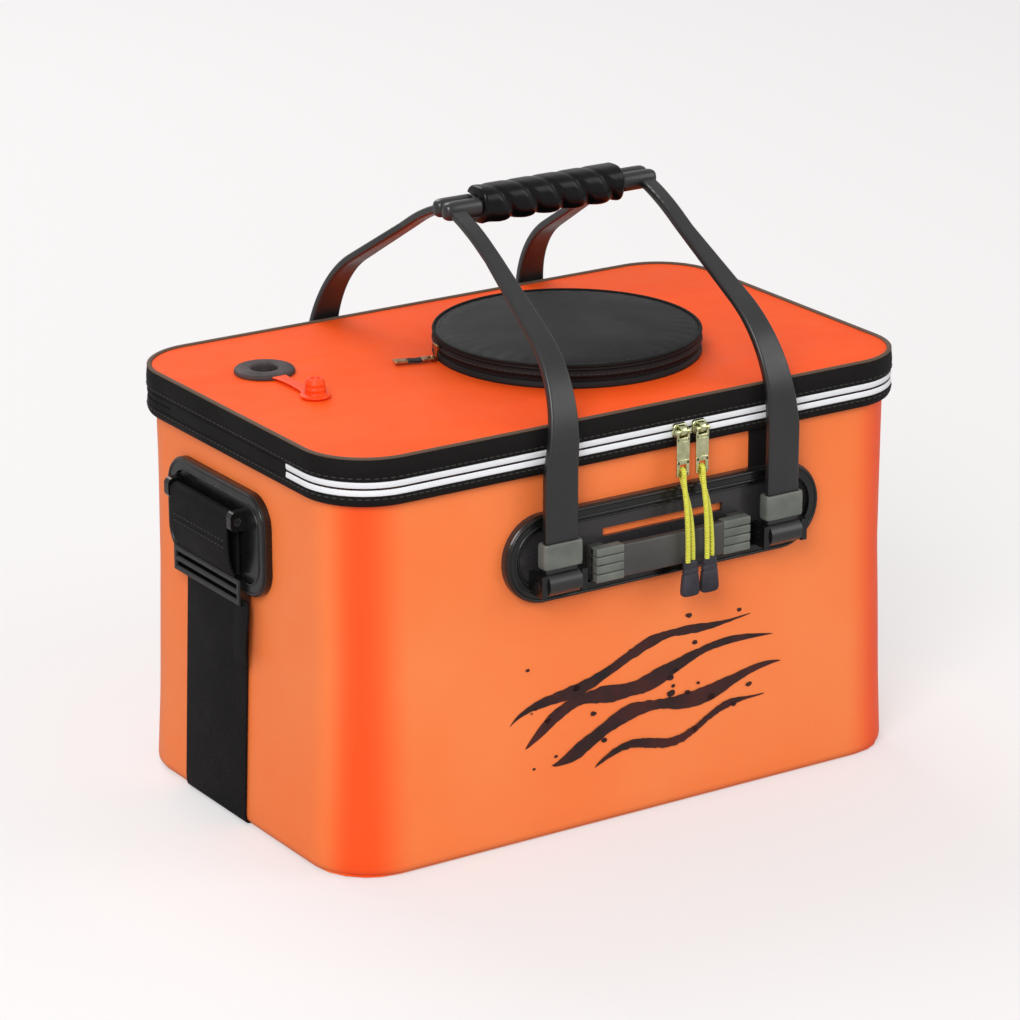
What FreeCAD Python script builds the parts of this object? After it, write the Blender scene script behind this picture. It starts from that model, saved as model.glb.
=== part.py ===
import FreeCAD
import Part
import Sketcher
import math
import os

V = FreeCAD.Vector
doc = FreeCAD.newDocument("FishingBucket")
sheet = doc.addObject("Spreadsheet::Sheet", "Sizes")
pieces = []


# A length with its spreadsheet expression
class Size:
    def __init__(self, value, text):
        self.value = float(value)
        self.text = text

    def __add__(self, other):
        other = size(other)
        return Size(self.value + other.value, "(%s + %s)" % (self.text, other.text))

    def __sub__(self, other):
        other = size(other)
        return Size(self.value - other.value, "(%s - %s)" % (self.text, other.text))

    def __mul__(self, factor):
        return Size(self.value * factor, "(%s * %s)" % (self.text, size(factor).text))

    def __radd__(self, other):
        return size(other) + self

    def __rsub__(self, other):
        return size(other) - self

    def __neg__(self):
        return self * -1


def size(value):
    if isinstance(value, Size):
        return value
    return Size(value, "(%s)" % format(value, ".6f"))


# Driving sizes, in millimetres and degrees
table = {
    "bodyHalfX": 195, "bodyHalfY": 120, "flare": 4.5, "cornerR": 36, "wallT": 3,
    "flareTop": 130, "wallTop": 231, "baseT": 4,
    "frameT": 3, "frameH": 10,
    "bandOut": 5, "bandT": 2, "bandLow": 222.5, "bandMid": 229, "seamZ": 233,
    "coilH": 0.9, "seamGap": 0.7, "leafGap": 0.3, "lidBandLow": 237,
    "lidTop": 250, "lidT": 5, "pipingH": 1.2, "pipingW": 3, "hingeHalf": 66,
    "strapW": 70, "strapT": 1.8, "strapShift": 22, "plateShift": 6, "grooveDeep": 2.2, "grooveGap": 0.4,
    "sidePlateHalfY": 56, "sidePlateLow": 145, "sidePlateTop": 207, "sidePlateT": 5,
    "sidePlateR": 18, "sideRim": 7, "sideRecess": 1.5, "lockH": 15.6, "lockT": 7,
    "lockGap": 0.4, "lockBar": 3.5, "strapPinR": 2.5, "strapPinZ": 189, "strapPinOut": 9,
    "loopW": 66, "loopT": 9, "loopTop": 6, "pinLugW": 5, "pinLugGap": 1, "pinLugEdge": 3.5,
    "handleX": 17, "plateHalfX": 109.5, "plateHalfZ": 26.5, "plateZ": 172.5, "plateT": 5.5,
    "plateRim": 7, "plateRecess": 3, "slotHalfX": 42, "slotLow": 177, "slotH": 5,
    "grabHalfX": 54, "grabFoot": 10, "grabLow": 154, "grabH": 21, "grabGap": 5.5,
    "grabT": 5.5, "grabBow": 1.5,
    "armX": 77.5, "armW": 22, "armTopW": 10, "armTopX": 66.5, "armT": 5, "pinR": 3, "pinFit": 0.05,
    "pinOut": 12, "pinZ": 160, "bossR": 7, "lugW": 4, "lugGap": 0.5, "lugHalfZ": 6.5,
    "lugOver": 5, "armStraight": 75, "bendShare": 0.63, "archR": 150, "archShare": 0.42,
    "taperEarly": 10, "taperEnd": 20, "armEdge": 1.6, "elbowR": 5,
    "railIn": 1.5, "railDeep": 6.5, "railH": 8, "railZ": 346,
    "gripR": 11, "gripHalfX": 49, "gripEnd": 2, "gripFit": 0.7, "gripFlare": 1.2,
    "grooveR": 2.6, "grooveCut": 1.1, "groovePitch": 17.5, "grooveTilt": 24,
    "keeperUp": 9.2, "keeperH": 15, "keeperT": 2,
    "tabW": 18, "tabT": 1.6, "tabShift": 7,
    "hatchX": 29, "hatchY": -5, "hatchHoleR": 70, "hatchR": 80, "collarH": 4, "collarW": 9,
    "hatchZipH": 1.2, "hatchZipW": 3, "hatchZipIn": 1, "hatchGap": 0.8, "hatchWallH": 3.4,
    "hatchWallW": 8, "coverT": 3.2, "coverCrown": 2, "coverEdge": 1.5,
    "hatchLeafT": 1.2, "hatchLeafAngle": 34, "pullAngle": 165, "pullL": 24, "pullW": 7,
    "pullT": 1.6, "pullPinR": 1.1, "pullFit": 0.05, "pullGap": 0.4, "hatchSliderW": 8,
    "hatchLugW": 3.2, "hatchLugR": 1.7, "hatchPinOut": 3.4, "hatchPinUp": 2,
    "grommetIn": 50, "grommetY": 52, "grommetR": 18, "grommetHoleR": 7.7, "grommetH": 3.5,
    "barrelT": 2.3, "barrelBelow": 4, "ringT": 3,
    "flipReach": 29, "flangeR": 9, "flangeT": 2.4, "flangeLift": 0.3,
    "spigotR": 6, "spigotTipR": 5, "spigotH": 9, "tetherW": 7, "tetherT": 1.2,
    "sliderLeftX": 25, "sliderRightX": 38.5, "sliderW": 10, "sliderH": 9, "sliderT": 2,
    "sliderGap": 0.5, "backT": 1, "backH": 6, "neckW": 3, "neckH": 0.8,
    "bailW": 4.8, "bailR": 2, "bailOut": 2.3, "zipPinR": 1.2, "zipPinFit": 0.05,
    "forkGap": 0.4, "forkW": 1.8, "forkR": 1.8, "pullerL": 27, "pullerT": 1.8,
    "eyeW": 4.4, "eyeLow": 2.5, "eyeH": 5, "webTop": 3.2,
    "cordR": 1.5, "cordEnd": 157, "endW": 12.5, "endT": 5.4, "endH": 21, "endY": -138.8,
    "endChamfer": 1.4,
}
S = {}
for row, (name, value) in enumerate(table.items(), start=1):
    sheet.set("A%d" % row, name)
    sheet.set("B%d" % row, str(value))
    sheet.setAlias("B%d" % row, name)
    S[name] = Size(value, "Sizes." + name)
doc.recompute()


# Helpers that bind each object to the sheet
def bind(obj, prop, value):
    obj.setExpression(prop, size(value).text)


def move(obj, x=0, y=0, z=0, turn=0):
    spot = V(size(x).value, size(y).value, size(z).value)
    obj.Placement = FreeCAD.Placement(spot, FreeCAD.Rotation(V(0, 0, 1), size(turn).value))
    for axis, value in zip("xyz", (x, y, z)):
        if isinstance(value, Size):
            bind(obj, "Placement.Base." + axis, value)
    if isinstance(turn, Size):
        bind(obj, "Placement.Rotation.Angle", turn)


def keep(obj, label):
    obj.Label = label
    pieces.append(obj)
    return obj


def new_body(label):
    return keep(doc.addObject("PartDesign::Body", label + "_body"), label)


def sketch(body, name, role, offset=0):
    sk = body.newObject("Sketcher::SketchObject", name)
    plane = [f for f in body.Origin.OriginFeatures if f.Role == role][0]
    sk.AttachmentSupport = (plane, [""])
    sk.MapMode = "FlatFace"
    sk.AttachmentOffset = FreeCAD.Placement(V(0, 0, size(offset).value), FreeCAD.Rotation())
    bind(sk, "AttachmentOffset.Base.z", offset)
    return sk


def datum(sk, kind, args, value):
    value = size(value)
    index = sk.addConstraint(Sketcher.Constraint(kind, *args, value.value))
    bind(sk, "Constraints[%d]" % index, value)


def pin_point(sk, geo, pos, x, y):
    for kind, value in (("DistanceX", x), ("DistanceY", y)):
        datum(sk, kind, (-1, 1, geo, pos), value)


def polygon(sk, points):
    first = sk.GeometryCount
    spots = [V(size(x).value, size(y).value, 0) for x, y in points]
    count = len(spots)
    for i in range(count):
        sk.addGeometry(Part.LineSegment(spots[i], spots[(i + 1) % count]), False)
    for i in range(count):
        after = first + (i + 1) % count
        sk.addConstraint(Sketcher.Constraint("Coincident", first + i, 2, after, 1))
        pin_point(sk, first + i, 1, *points[i])


def rectangle(sk, x0, x1, y0, y1):
    polygon(sk, [(x0, y0), (x1, y0), (x1, y1), (x0, y1)])


def circle(sk, x, y, radius):
    spot = V(size(x).value, size(y).value, 0)
    geo = sk.addGeometry(Part.Circle(spot, V(0, 0, 1), size(radius).value), False)
    pin_point(sk, geo, 3, x, y)
    datum(sk, "Radius", (geo,), radius)


def rounded(sk, x0, x1, y0, y1, radius):
    a, b, c, d, r = [size(v).value for v in (x0, x1, y0, y1, radius)]
    first = sk.GeometryCount
    corners = [V(a + r, c), V(b - r, c), V(b, c + r), V(b, d - r),
               V(b - r, d), V(a + r, d), V(a, d - r), V(a, c + r)]
    centres = [V(b - r, c + r), V(b - r, d - r), V(a + r, d - r), V(a + r, c + r)]
    for i in range(4):
        sk.addGeometry(Part.LineSegment(corners[2 * i], corners[2 * i + 1]), False)
        ring = Part.Circle(centres[i], V(0, 0, 1), r)
        start = math.radians(-90 + 90 * i)
        sk.addGeometry(Part.ArcOfCircle(ring, start, start + math.pi / 2), False)
    for i in range(4):
        line, arc, after = first + 2 * i, first + 2 * i + 1, first + (2 * i + 2) % 8
        sk.addConstraint(Sketcher.Constraint("Tangent", line, 2, arc, 1))
        sk.addConstraint(Sketcher.Constraint("Tangent", arc, 2, after, 1))
        sk.addConstraint(Sketcher.Constraint(("Horizontal", "Vertical")[i % 2], line))
        if i:
            sk.addConstraint(Sketcher.Constraint("Equal", first + 1, arc))
    datum(sk, "Radius", (first + 1,), radius)
    datum(sk, "DistanceY", (-1, 1, first, 1), y0)
    datum(sk, "DistanceX", (-1, 1, first + 2, 1), x1)
    datum(sk, "DistanceY", (-1, 1, first + 4, 1), y1)
    datum(sk, "DistanceX", (-1, 1, first + 6, 1), x0)


def centred(sk, half_x, half_y, radius):
    rounded(sk, -half_x, half_x, -half_y, half_y, radius)


def feature(body, kind, name, sk, length=None, both=False, back=False):
    made = body.newObject("PartDesign::" + kind, name)
    made.Profile = sk
    if length is not None:
        made.Length = size(length).value
        bind(made, "Length", length)
        made.Midplane = both
    made.Reversed = back
    sk.Visibility = False
    return made


def cut(body, name, sk, length, both=False, back=False):
    doc.recompute()
    before = body.Shape.Volume
    made = feature(body, "Pocket", name, sk, length, both, back)
    doc.recompute()
    if body.Shape.Volume > before - 0.01:
        raise RuntimeError(body.Label + " " + name + " removes nothing")
    return made


def spin(body, name, sk, axis="V_Axis", angle=None):
    made = body.newObject("PartDesign::Revolution", name)
    made.Profile = sk
    made.ReferenceAxis = (sk, [axis])
    made.Angle = 360
    if angle is not None:
        made.Midplane = True
        made.Angle = size(angle).value
        bind(made, "Angle", angle)
    sk.Visibility = False
    return made


def edges_of(base, test):
    doc.recompute()
    return ["Edge%d" % i for i, edge in enumerate(base.Shape.Edges, start=1) if test(edge.BoundBox)]


def chamfer(body, base, amount, test):
    names = edges_of(base, test)
    made = body.newObject("PartDesign::Chamfer", "Chamfer")
    made.Base = (base, names)
    bind(made, "Size", amount)
    return made


def fillet(body, base, amount, test):
    names = edges_of(base, test)
    made = body.newObject("PartDesign::Fillet", "Fillet")
    made.Base = (base, names)
    bind(made, "Radius", amount)
    doc.recompute()
    return made


def box(name, x0, x1, y0, y1, z0, z1):
    made = doc.addObject("Part::Box", name)
    for prop, low, high in (("Length", x0, x1), ("Width", y0, y1), ("Height", z0, z1)):
        bind(made, prop, size(high) - low)
    for axis, low in zip("xyz", (x0, y0, z0)):
        bind(made, "Placement.Base." + axis, low)
    return made


def rod(name, axis, radius, length, x, y, z):
    made = doc.addObject("Part::Cylinder", name)
    bind(made, "Radius", radius)
    bind(made, "Height", length)
    turn = {"x": FreeCAD.Rotation(V(0, 1, 0), 90), "y": FreeCAD.Rotation(V(1, 0, 0), -90),
            "z": FreeCAD.Rotation()}[axis]
    made.Placement = FreeCAD.Placement(V(0, 0, 0), turn)
    for letter, value in zip("xyz", (x, y, z)):
        bind(made, "Placement.Base." + letter, value)
    return made


def fuse(name, shapes):
    made = doc.addObject("Part::MultiFuse", name)
    made.Shapes = shapes
    made.Refine = True
    return made


def minus(name, base, tool):
    made = doc.addObject("Part::Cut", name)
    made.Base = base
    made.Tool = tool
    return made


# Bucket wall: flared below, straight above, with an even wall
outX = S["bodyHalfX"] + S["flare"]
outY = S["bodyHalfY"] + S["flare"]


def wall_loft(body, kind, inset):
    loft = body.newObject("PartDesign::" + kind, kind)
    low = sketch(body, kind + "_low", "XY_Plane", S["baseT"])
    centred(low, outX - inset, outY - inset, S["cornerR"] - inset)
    high = sketch(body, kind + "_high", "XY_Plane", S["flareTop"])
    centred(high, S["bodyHalfX"] - inset, S["bodyHalfY"] - inset, S["cornerR"] - inset)
    loft.Profile = low
    loft.Sections = [high]
    loft.Ruled = True
    doc.recompute()


wall = new_body("body_wall")
wall_loft(wall, "AdditiveLoft", size(0))
sk = sketch(wall, "wall_top", "XY_Plane", S["flareTop"])
centred(sk, S["bodyHalfX"], S["bodyHalfY"], S["cornerR"])
feature(wall, "Pad", "wall_upper", sk, S["wallTop"] - S["flareTop"])
doc.recompute()
wall_loft(wall, "SubtractiveLoft", S["wallT"])
sk = sketch(wall, "mouth", "XY_Plane", S["flareTop"])
centred(sk, S["bodyHalfX"] - S["wallT"], S["bodyHalfY"] - S["wallT"], S["cornerR"] - S["wallT"])
cut(wall, "mouth_cut", sk, S["wallTop"] - S["flareTop"], back=True)

base = new_body("base_panel")
sk = sketch(base, "base_outline", "XY_Plane")
centred(sk, outX, outY, S["cornerR"])
feature(base, "Pad", "base_pad", sk, S["baseT"])
sk = sketch(base, "strap_groove", "XY_Plane")
grooveHalf = S["strapW"] * 0.5 + S["grooveGap"]
rectangle(sk, -outX - 5, outX + 5, S["strapShift"] - grooveHalf, S["strapShift"] + grooveHalf)
cut(base, "groove_cut", sk, S["grooveDeep"], back=True)


# Rings that follow the rounded outline of the mouth
def ring(label, outer, thick, z0, z1, gap=False):
    body = new_body(label)
    sk = sketch(body, label + "_outline", "XY_Plane", z0)
    for inset in (size(0), size(thick)):
        centred(sk, S["bodyHalfX"] + outer - inset, S["bodyHalfY"] + outer - inset,
                S["cornerR"] + outer - inset)
    feature(body, "Pad", label + "_pad", sk, size(z1) - z0)
    if gap:
        sk = sketch(body, label + "_gap", "XY_Plane", z0)
        rectangle(sk, -S["bodyHalfX"] - S["bandOut"] - 5, -S["bodyHalfX"] + 5,
                  -S["hingeHalf"], S["hingeHalf"])
        cut(body, label + "_gap_cut", sk, size(z1) - z0, back=True)
    return body


bandT = S["bandT"]
coilLow = S["seamZ"] - S["seamGap"] - S["coilH"]
coilHigh = S["seamZ"] + S["seamGap"] + S["coilH"]
ring("mouth_frame", -S["wallT"], S["frameT"], S["wallTop"] - S["frameH"], S["wallTop"])
rim = ring("rim_band", S["bandOut"], S["bandOut"], S["bandLow"], S["bandMid"])
ring("zip_tape_lower", S["bandOut"], bandT, S["bandMid"], coilLow, True)
ring("zip_coil_lower", S["bandOut"], bandT, coilLow, coilLow + S["coilH"], True)
ring("zip_coil_upper", S["bandOut"], bandT, coilHigh - S["coilH"], coilHigh, True)
ring("zip_tape_upper", S["bandOut"], bandT, coilHigh, S["lidBandLow"], True)
ring("lid_band", S["bandOut"], bandT, S["lidBandLow"], S["lidTop"])
ring("lid_piping", S["bandOut"], S["pipingW"], S["lidTop"], S["lidTop"] + S["pipingH"])
sk = sketch(rim, "rim_tabs", "XY_Plane", S["bandLow"])
for sign in (-1, 1):
    mid = S["handleX"] + (S["armX"] - S["tabShift"]) * sign
    for face in (-S["bodyHalfY"] - S["tabT"], S["bodyHalfY"]):
        rectangle(sk, mid - S["tabW"] * 0.5, mid + S["tabW"] * 0.5, face, face + S["tabT"])
feature(rim, "Pad", "rim_tab_pad", sk, S["bandLow"] - S["plateZ"] - S["plateHalfZ"], back=True)
bandX = S["bodyHalfX"] + S["bandOut"]
bandY = S["bodyHalfY"] + S["bandOut"]
leaf = box("BodyLeaf", -bandX, -bandX + bandT, -S["hingeHalf"], S["hingeHalf"],
           S["bandMid"], S["seamZ"] - S["leafGap"])
keep(leaf, "body_hinge_leaf")
leaf = box("LidLeaf", -bandX, -bandX + bandT, -S["hingeHalf"], S["hingeHalf"],
           S["seamZ"] + S["leafGap"], S["lidBandLow"])
keep(leaf, "lid_hinge_leaf")

# Lid panel with the hatch hole and the air hole
lid = new_body("lid_panel")
sk = sketch(lid, "lid_outline", "XY_Plane", S["lidTop"] - S["lidT"])
centred(sk, bandX - bandT, bandY - bandT, S["cornerR"] + S["bandOut"] - bandT)
circle(sk, S["hatchX"], S["hatchY"], S["hatchHoleR"])
gx, gy = S["grommetIn"] - S["bodyHalfX"], S["grommetY"]
circle(sk, gx, gy, S["grommetHoleR"] + S["barrelT"])
feature(lid, "Pad", "lid_pad", sk, S["lidT"])


# Pieces turned about an upright line
def turned(label, x, y, profile, angle=None, turn=0):
    body = new_body(label)
    sk = sketch(body, label + "_profile", "XZ_Plane")
    polygon(sk, profile)
    spin(body, label + "_turn", sk, "V_Axis", angle)
    move(body, x, y, 0, turn)
    return body


def band_of(r0, r1, z0, z1):
    return [(r0, z0), (r1, z0), (r1, z1), (r0, z1)]


hx, hy, hr = S["hatchX"], S["hatchY"], S["hatchR"]
collarTop = S["lidTop"] + S["collarH"]
zipLowTop = collarTop + S["hatchZipH"]
zipHigh = zipLowTop + S["hatchGap"]
wallLow = zipHigh + S["hatchZipH"]
coverLow = wallLow + S["hatchWallH"]
zipOut = hr - S["hatchZipIn"]
turned("hatch_collar", hx, hy, band_of(hr - S["collarW"], hr, S["lidTop"], collarTop))
turned("hatch_zip_lower", hx, hy, band_of(zipOut - S["hatchZipW"], zipOut, collarTop, zipLowTop))
turned("hatch_zip_upper", hx, hy, band_of(zipOut - S["hatchZipW"], zipOut, zipHigh, wallLow))
turned("hatch_wall", hx, hy, band_of(hr - S["hatchWallW"], hr, wallLow, coverLow))
edge = S["coverEdge"]
coverTop = coverLow + S["coverT"]
turned("hatch_cover", hx, hy, [
    (0, coverLow), (hr, coverLow), (hr, coverTop - edge), (hr - edge * 0.3, coverTop - edge * 0.3),
    (hr - edge, coverTop), (hr * 0.6, coverTop + S["coverCrown"] * 0.7),
    (0, coverTop + S["coverCrown"])])
leafOut = hr + S["hatchLeafT"]
leafAngle = S["hatchLeafAngle"]
turned("hatch_leaf_lower", hx, hy, band_of(hr, leafOut, S["lidTop"], zipLowTop), leafAngle)
turned("hatch_leaf_upper", hx, hy, band_of(hr, leafOut, zipHigh, coverLow), leafAngle)

# Air grommet, its backing ring and the stopper on its tether
hole = S["grommetHoleR"]
barrel = hole + S["barrelT"]
lidLow = S["lidTop"] - S["lidT"]
gTop = S["lidTop"] + S["grommetH"]
turned("grommet", gx, gy, [
    (hole, lidLow - S["barrelBelow"]), (barrel, lidLow - S["barrelBelow"]), (barrel, S["lidTop"]),
    (S["grommetR"], S["lidTop"]), (S["grommetR"], gTop - 1.2), (S["grommetR"] - 1.2, gTop),
    (hole + 1, gTop), (hole, gTop - 1)])
turned("grommet_ring", gx, gy, band_of(barrel, S["grommetR"] - 1, lidLow - S["ringT"], lidLow))
flipY = gy - S["flipReach"]
plugY = flipY - S["flipReach"]
plugLow = S["lidTop"] + S["flangeLift"]
plugTop = plugLow + S["flangeT"]
turned("plug_stopper", gx, plugY, [
    (0, plugLow), (S["flangeR"] - 0.8, plugLow), (S["flangeR"], plugLow + 0.8), (S["flangeR"], plugTop),
    (S["spigotR"], plugTop), (S["spigotTipR"], plugTop + S["spigotH"]), (0, plugTop + S["spigotH"])])
halfTether = S["tetherW"] * 0.5
tetherLow = plugTop - S["tetherT"]
strip = box("TetherStrip", gx - halfTether, gx + halfTether, plugY, flipY - 0.3, tetherLow, plugTop)
keep(minus("TetherCut", strip, rod("TetherHole", "z", S["flangeR"], 20, gx, plugY, S["lidTop"])),
     "plug_tether")
strip = box("AnchorStrip", gx - halfTether, gx + halfTether, flipY + 0.3, gy, S["lidTop"], plugTop)
keep(minus("AnchorCut", strip, rod("AnchorHole", "z", S["grommetR"], 20, gx, gy, lidLow)),
     "plug_anchor")


# Handle plates with a recess, a slot and the lugs of the handle pins
def handle_plate(label, turn):
    body = new_body(label)
    half, tall, zMid = S["plateHalfX"], S["plateHalfZ"], S["plateZ"]
    face = S["bodyHalfY"] + S["plateT"]
    sk = sketch(body, label + "_outline", "XZ_Plane", S["bodyHalfY"])
    rounded(sk, -half, half, zMid - tall, zMid + tall, tall - 0.3)
    pad = feature(body, "Pad", label + "_pad", sk, S["plateT"])
    front = -face.value
    pad = chamfer(body, pad, 1.2, lambda b: abs(b.YMin - front) < 0.01 and abs(b.YMax - front) < 0.01)
    sk = sketch(body, label + "_recess", "XZ_Plane", face - S["plateRecess"])
    rim = S["plateRim"]
    rounded(sk, -half + rim, half - rim, zMid - tall + rim, zMid + tall - rim, tall - rim - 0.3)
    cut(body, label + "_recess_cut", sk, S["plateRecess"] + 1, back=True)
    sk = sketch(body, label + "_slot", "XZ_Plane", S["bodyHalfY"])
    rectangle(sk, -S["slotHalfX"], S["slotHalfX"], S["slotLow"], S["slotLow"] + S["slotH"])
    cut(body, label + "_slot_cut", sk, S["plateT"], back=True)
    sk = sketch(body, label + "_lugs", "XZ_Plane", face - S["plateRecess"])
    for spot in (-S["armX"], S["armX"]):
        for sign in (-1, 1):
            near = spot + (S["armW"] * 0.5 + S["lugGap"]) * sign
            far = near + S["lugW"] * sign
            low, high = (far, near) if sign < 0 else (near, far)
            rectangle(sk, low, high, S["pinZ"] - S["lugHalfZ"], S["pinZ"] + S["lugHalfZ"])
    lugs = S["pinOut"] + S["lugOver"] - S["plateT"] + S["plateRecess"]
    feature(body, "Pad", label + "_lug_pad", sk, lugs)
    sk = sketch(body, label + "_pin_line", "YZ_Plane")
    circle(sk, -S["bodyHalfY"] - S["pinOut"], S["pinZ"], S["pinR"])
    cut(body, label + "_pin_holes", sk, half * 2, both=True)
    move(body, S["handleX"], 0, 0, turn)


def grab_bar(label, turn):
    body = new_body(label)
    half, foot = S["grabHalfX"], S["grabFoot"]
    floor = -(S["bodyHalfY"] + S["plateT"] - S["plateRecess"])
    inner = floor - S["grabGap"]
    outer = inner - S["grabT"]
    bow = S["grabBow"]
    sk = sketch(body, label + "_plan", "XY_Plane", S["grabLow"])
    polygon(sk, [
        (-half, floor), (-half, outer + 3), (-half + 4, outer), (0, outer - bow), (half - 4, outer),
        (half, outer + 3), (half, floor), (half - foot, floor), (half - foot, inner),
        (0, inner - bow), (-half + foot, inner), (-half + foot, floor)])
    feature(body, "Pad", label + "_pad", sk, S["grabH"])
    move(body, S["handleX"], 0, 0, turn)


# One handle: two arms that arch inward, a rail across the top and bored lower ends
def handle_loop(label, turn):
    body = new_body(label)
    y0 = -table["bodyHalfY"] - table["pinOut"]
    z0 = table["pinZ"] + table["armStraight"]
    half = table["armT"] / 2
    endY = -table["railIn"] - table["railDeep"] / 2
    rise = table["railZ"] - z0
    bendR = table["bendShare"] * rise
    top = table["archShare"] * math.atan2(rise, endY - y0)

    # The sloping run between the bend and the arch, for one slope
    def run_of(angle):
        spanY = table["archR"] * (math.sin(angle) - math.sin(top))
        runY = endY - spanY - y0 - bendR * (1 - math.sin(angle))
        return runY, runY * math.tan(angle)

    def height_of(angle):
        spanZ = table["archR"] * (math.cos(top) - math.cos(angle))
        return z0 + bendR * math.cos(angle) + run_of(angle)[1] + spanZ

    # The slope at which the arch ends level with the rail
    least, most = top, math.radians(80)
    for step in range(60):
        slope = (least + most) / 2
        if height_of(slope) < table["railZ"]:
            least = slope
        else:
            most = slope
    turnAngle = math.pi / 2 - slope
    runY, runZ = run_of(slope)
    bend = V(y0 + bendR, z0, 0)

    def on_bend(radius, angle):
        return bend + V(-radius * math.cos(angle), radius * math.sin(angle), 0)

    joint = on_bend(bendR, turnAngle) + V(runY, runZ, 0)
    arch = joint + V(math.sin(slope), -math.cos(slope), 0) * table["archR"]

    def on_arch(radius, angle):
        return arch + V(-radius * math.sin(angle), radius * math.cos(angle), 0)

    sk = sketch(body, label + "_side", "YZ_Plane")
    spots = []
    for shift in (half, -half):
        spots.append([V(y0 - shift, table["pinZ"], 0), V(y0 - shift, z0, 0),
                      on_bend(bendR + shift, turnAngle / 2),
                      on_bend(bendR + shift, turnAngle), on_arch(table["archR"] + shift, slope),
                      on_arch(table["archR"] + shift, (slope + top) / 2),
                      on_arch(table["archR"] + shift, top)])
    for line in spots:
        sk.addGeometry(Part.LineSegment(line[0], line[1]), False)
        sk.addGeometry(Part.Arc(line[1], line[2], line[3]), False)
        sk.addGeometry(Part.LineSegment(line[3], line[4]), False)
        sk.addGeometry(Part.Arc(line[4], line[5], line[6]), False)
    sk.addGeometry(Part.LineSegment(spots[0][0], spots[1][0]), False)
    sk.addGeometry(Part.LineSegment(spots[0][6], spots[1][6]), False)
    for geo in range(10):
        sk.addConstraint(Sketcher.Constraint("Block", geo))
    wide = (S["armX"] + S["armW"] * 0.5) * 2
    feature(body, "Pad", label + "_strip", sk, wide, both=True)
    sk = sketch(body, label + "_boss", "YZ_Plane")
    circle(sk, -S["bodyHalfY"] - S["pinOut"], S["pinZ"], S["bossR"])
    feature(body, "Pad", label + "_boss_pad", sk, wide, both=True)
    outLow, outTop = S["armX"] + S["armW"] * 0.5, S["armTopX"] + S["armTopW"] * 0.5
    inLow, inTop = S["armX"] - S["armW"] * 0.5, S["armTopX"] - S["armTopW"] * 0.5
    floor = S["pinZ"] - S["bossR"] - 2
    low, high = S["pinZ"] + S["armStraight"] - S["taperEarly"], S["railZ"] - S["taperEnd"]
    crown = S["railZ"] + 20
    reach = S["bodyHalfY"] + S["pinOut"] + S["bossR"] + 5
    sk = sketch(body, label + "_sides", "XZ_Plane")
    for sign in (1, -1):
        polygon(sk, [(outLow * sign, low), (outTop * sign, high), (outTop * sign, crown),
                     ((outLow + 5) * sign, crown), ((outLow + 5) * sign, low)])
    cut(body, label + "_side_cut", sk, reach, back=True)
    sk = sketch(body, label + "_rail", "YZ_Plane")
    railFront = S["railIn"] + S["railDeep"]
    rectangle(sk, -railFront, -S["railIn"],
              S["railZ"] - S["railH"] * 0.5, S["railZ"] + S["railH"] * 0.5)
    feature(body, "Pad", label + "_rail_pad", sk, outTop * 2, both=True)
    sk = sketch(body, label + "_window", "XZ_Plane", railFront)
    polygon(sk, [(-inLow, floor), (inLow, floor), (inLow, low), (inTop, high), (inTop, crown),
                 (-inTop, crown), (-inTop, high), (-inLow, low)])
    cut(body, label + "_window_cut", sk, reach, back=True)
    sk = sketch(body, label + "_bore", "YZ_Plane")
    circle(sk, -S["bodyHalfY"] - S["pinOut"], S["pinZ"], S["pinR"] + S["pinFit"])
    last = cut(body, label + "_bore_cut", sk, wide + 10, both=True)
    elbow = outTop.value
    last = fillet(body, last, S["elbowR"], lambda b: b.ZLength > 5 and b.YLength < 0.1 and b.YMax > -2
                  and abs(abs(b.Center.x) - elbow) < 0.1)
    foot = table["pinZ"] + table["bossR"] / 2
    head = table["railZ"] + table["railH"] / 2 - 0.5
    long = table["armT"] * 1.2
    fillet(body, last, S["armEdge"], lambda b: b.ZLength > long and b.ZMin > foot and b.ZMax < head)
    move(body, S["handleX"], 0, 0, turn)


for end, turn in (("front", 0), ("rear", 180)):
    flip = 1 if turn == 0 else -1
    handle_plate(end + "_plate", turn)
    grab_bar(end + "_grab_bar", turn)
    handle_loop(end + "_handle_loop", turn)
    pinY = (-S["bodyHalfY"] - S["pinOut"]) * flip
    pinL = S["armW"] + (S["lugGap"] + S["lugW"]) * 2
    for word, sign in (("left", -1), ("right", 1)):
        spot = S["handleX"] + S["armX"] * sign
        pin = rod(end + word + "Pin", "x", S["pinR"], pinL, spot - pinL * 0.5, pinY, S["pinZ"])
        keep(pin, "%s_%s_pin" % (end, word))
        gap = S["armW"] * 0.5
        outX1 = gap + S["keeperT"]
        deep = S["armT"] * 0.5
        outY1 = deep + S["keeperT"]
        low = S["pinZ"] + S["keeperUp"]
        high = low + S["keeperH"]
        shell = box(end + word + "Shell", spot - outX1, spot + outX1, pinY - outY1, pinY + outY1, low, high)
        core = box(end + word + "Core", spot - gap, spot + gap, pinY - deep, pinY + deep, low - 1, high + 1)
        keep(minus(end + word + "Keeper", shell, core), "%s_%s_keeper" % (end, word))

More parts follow.
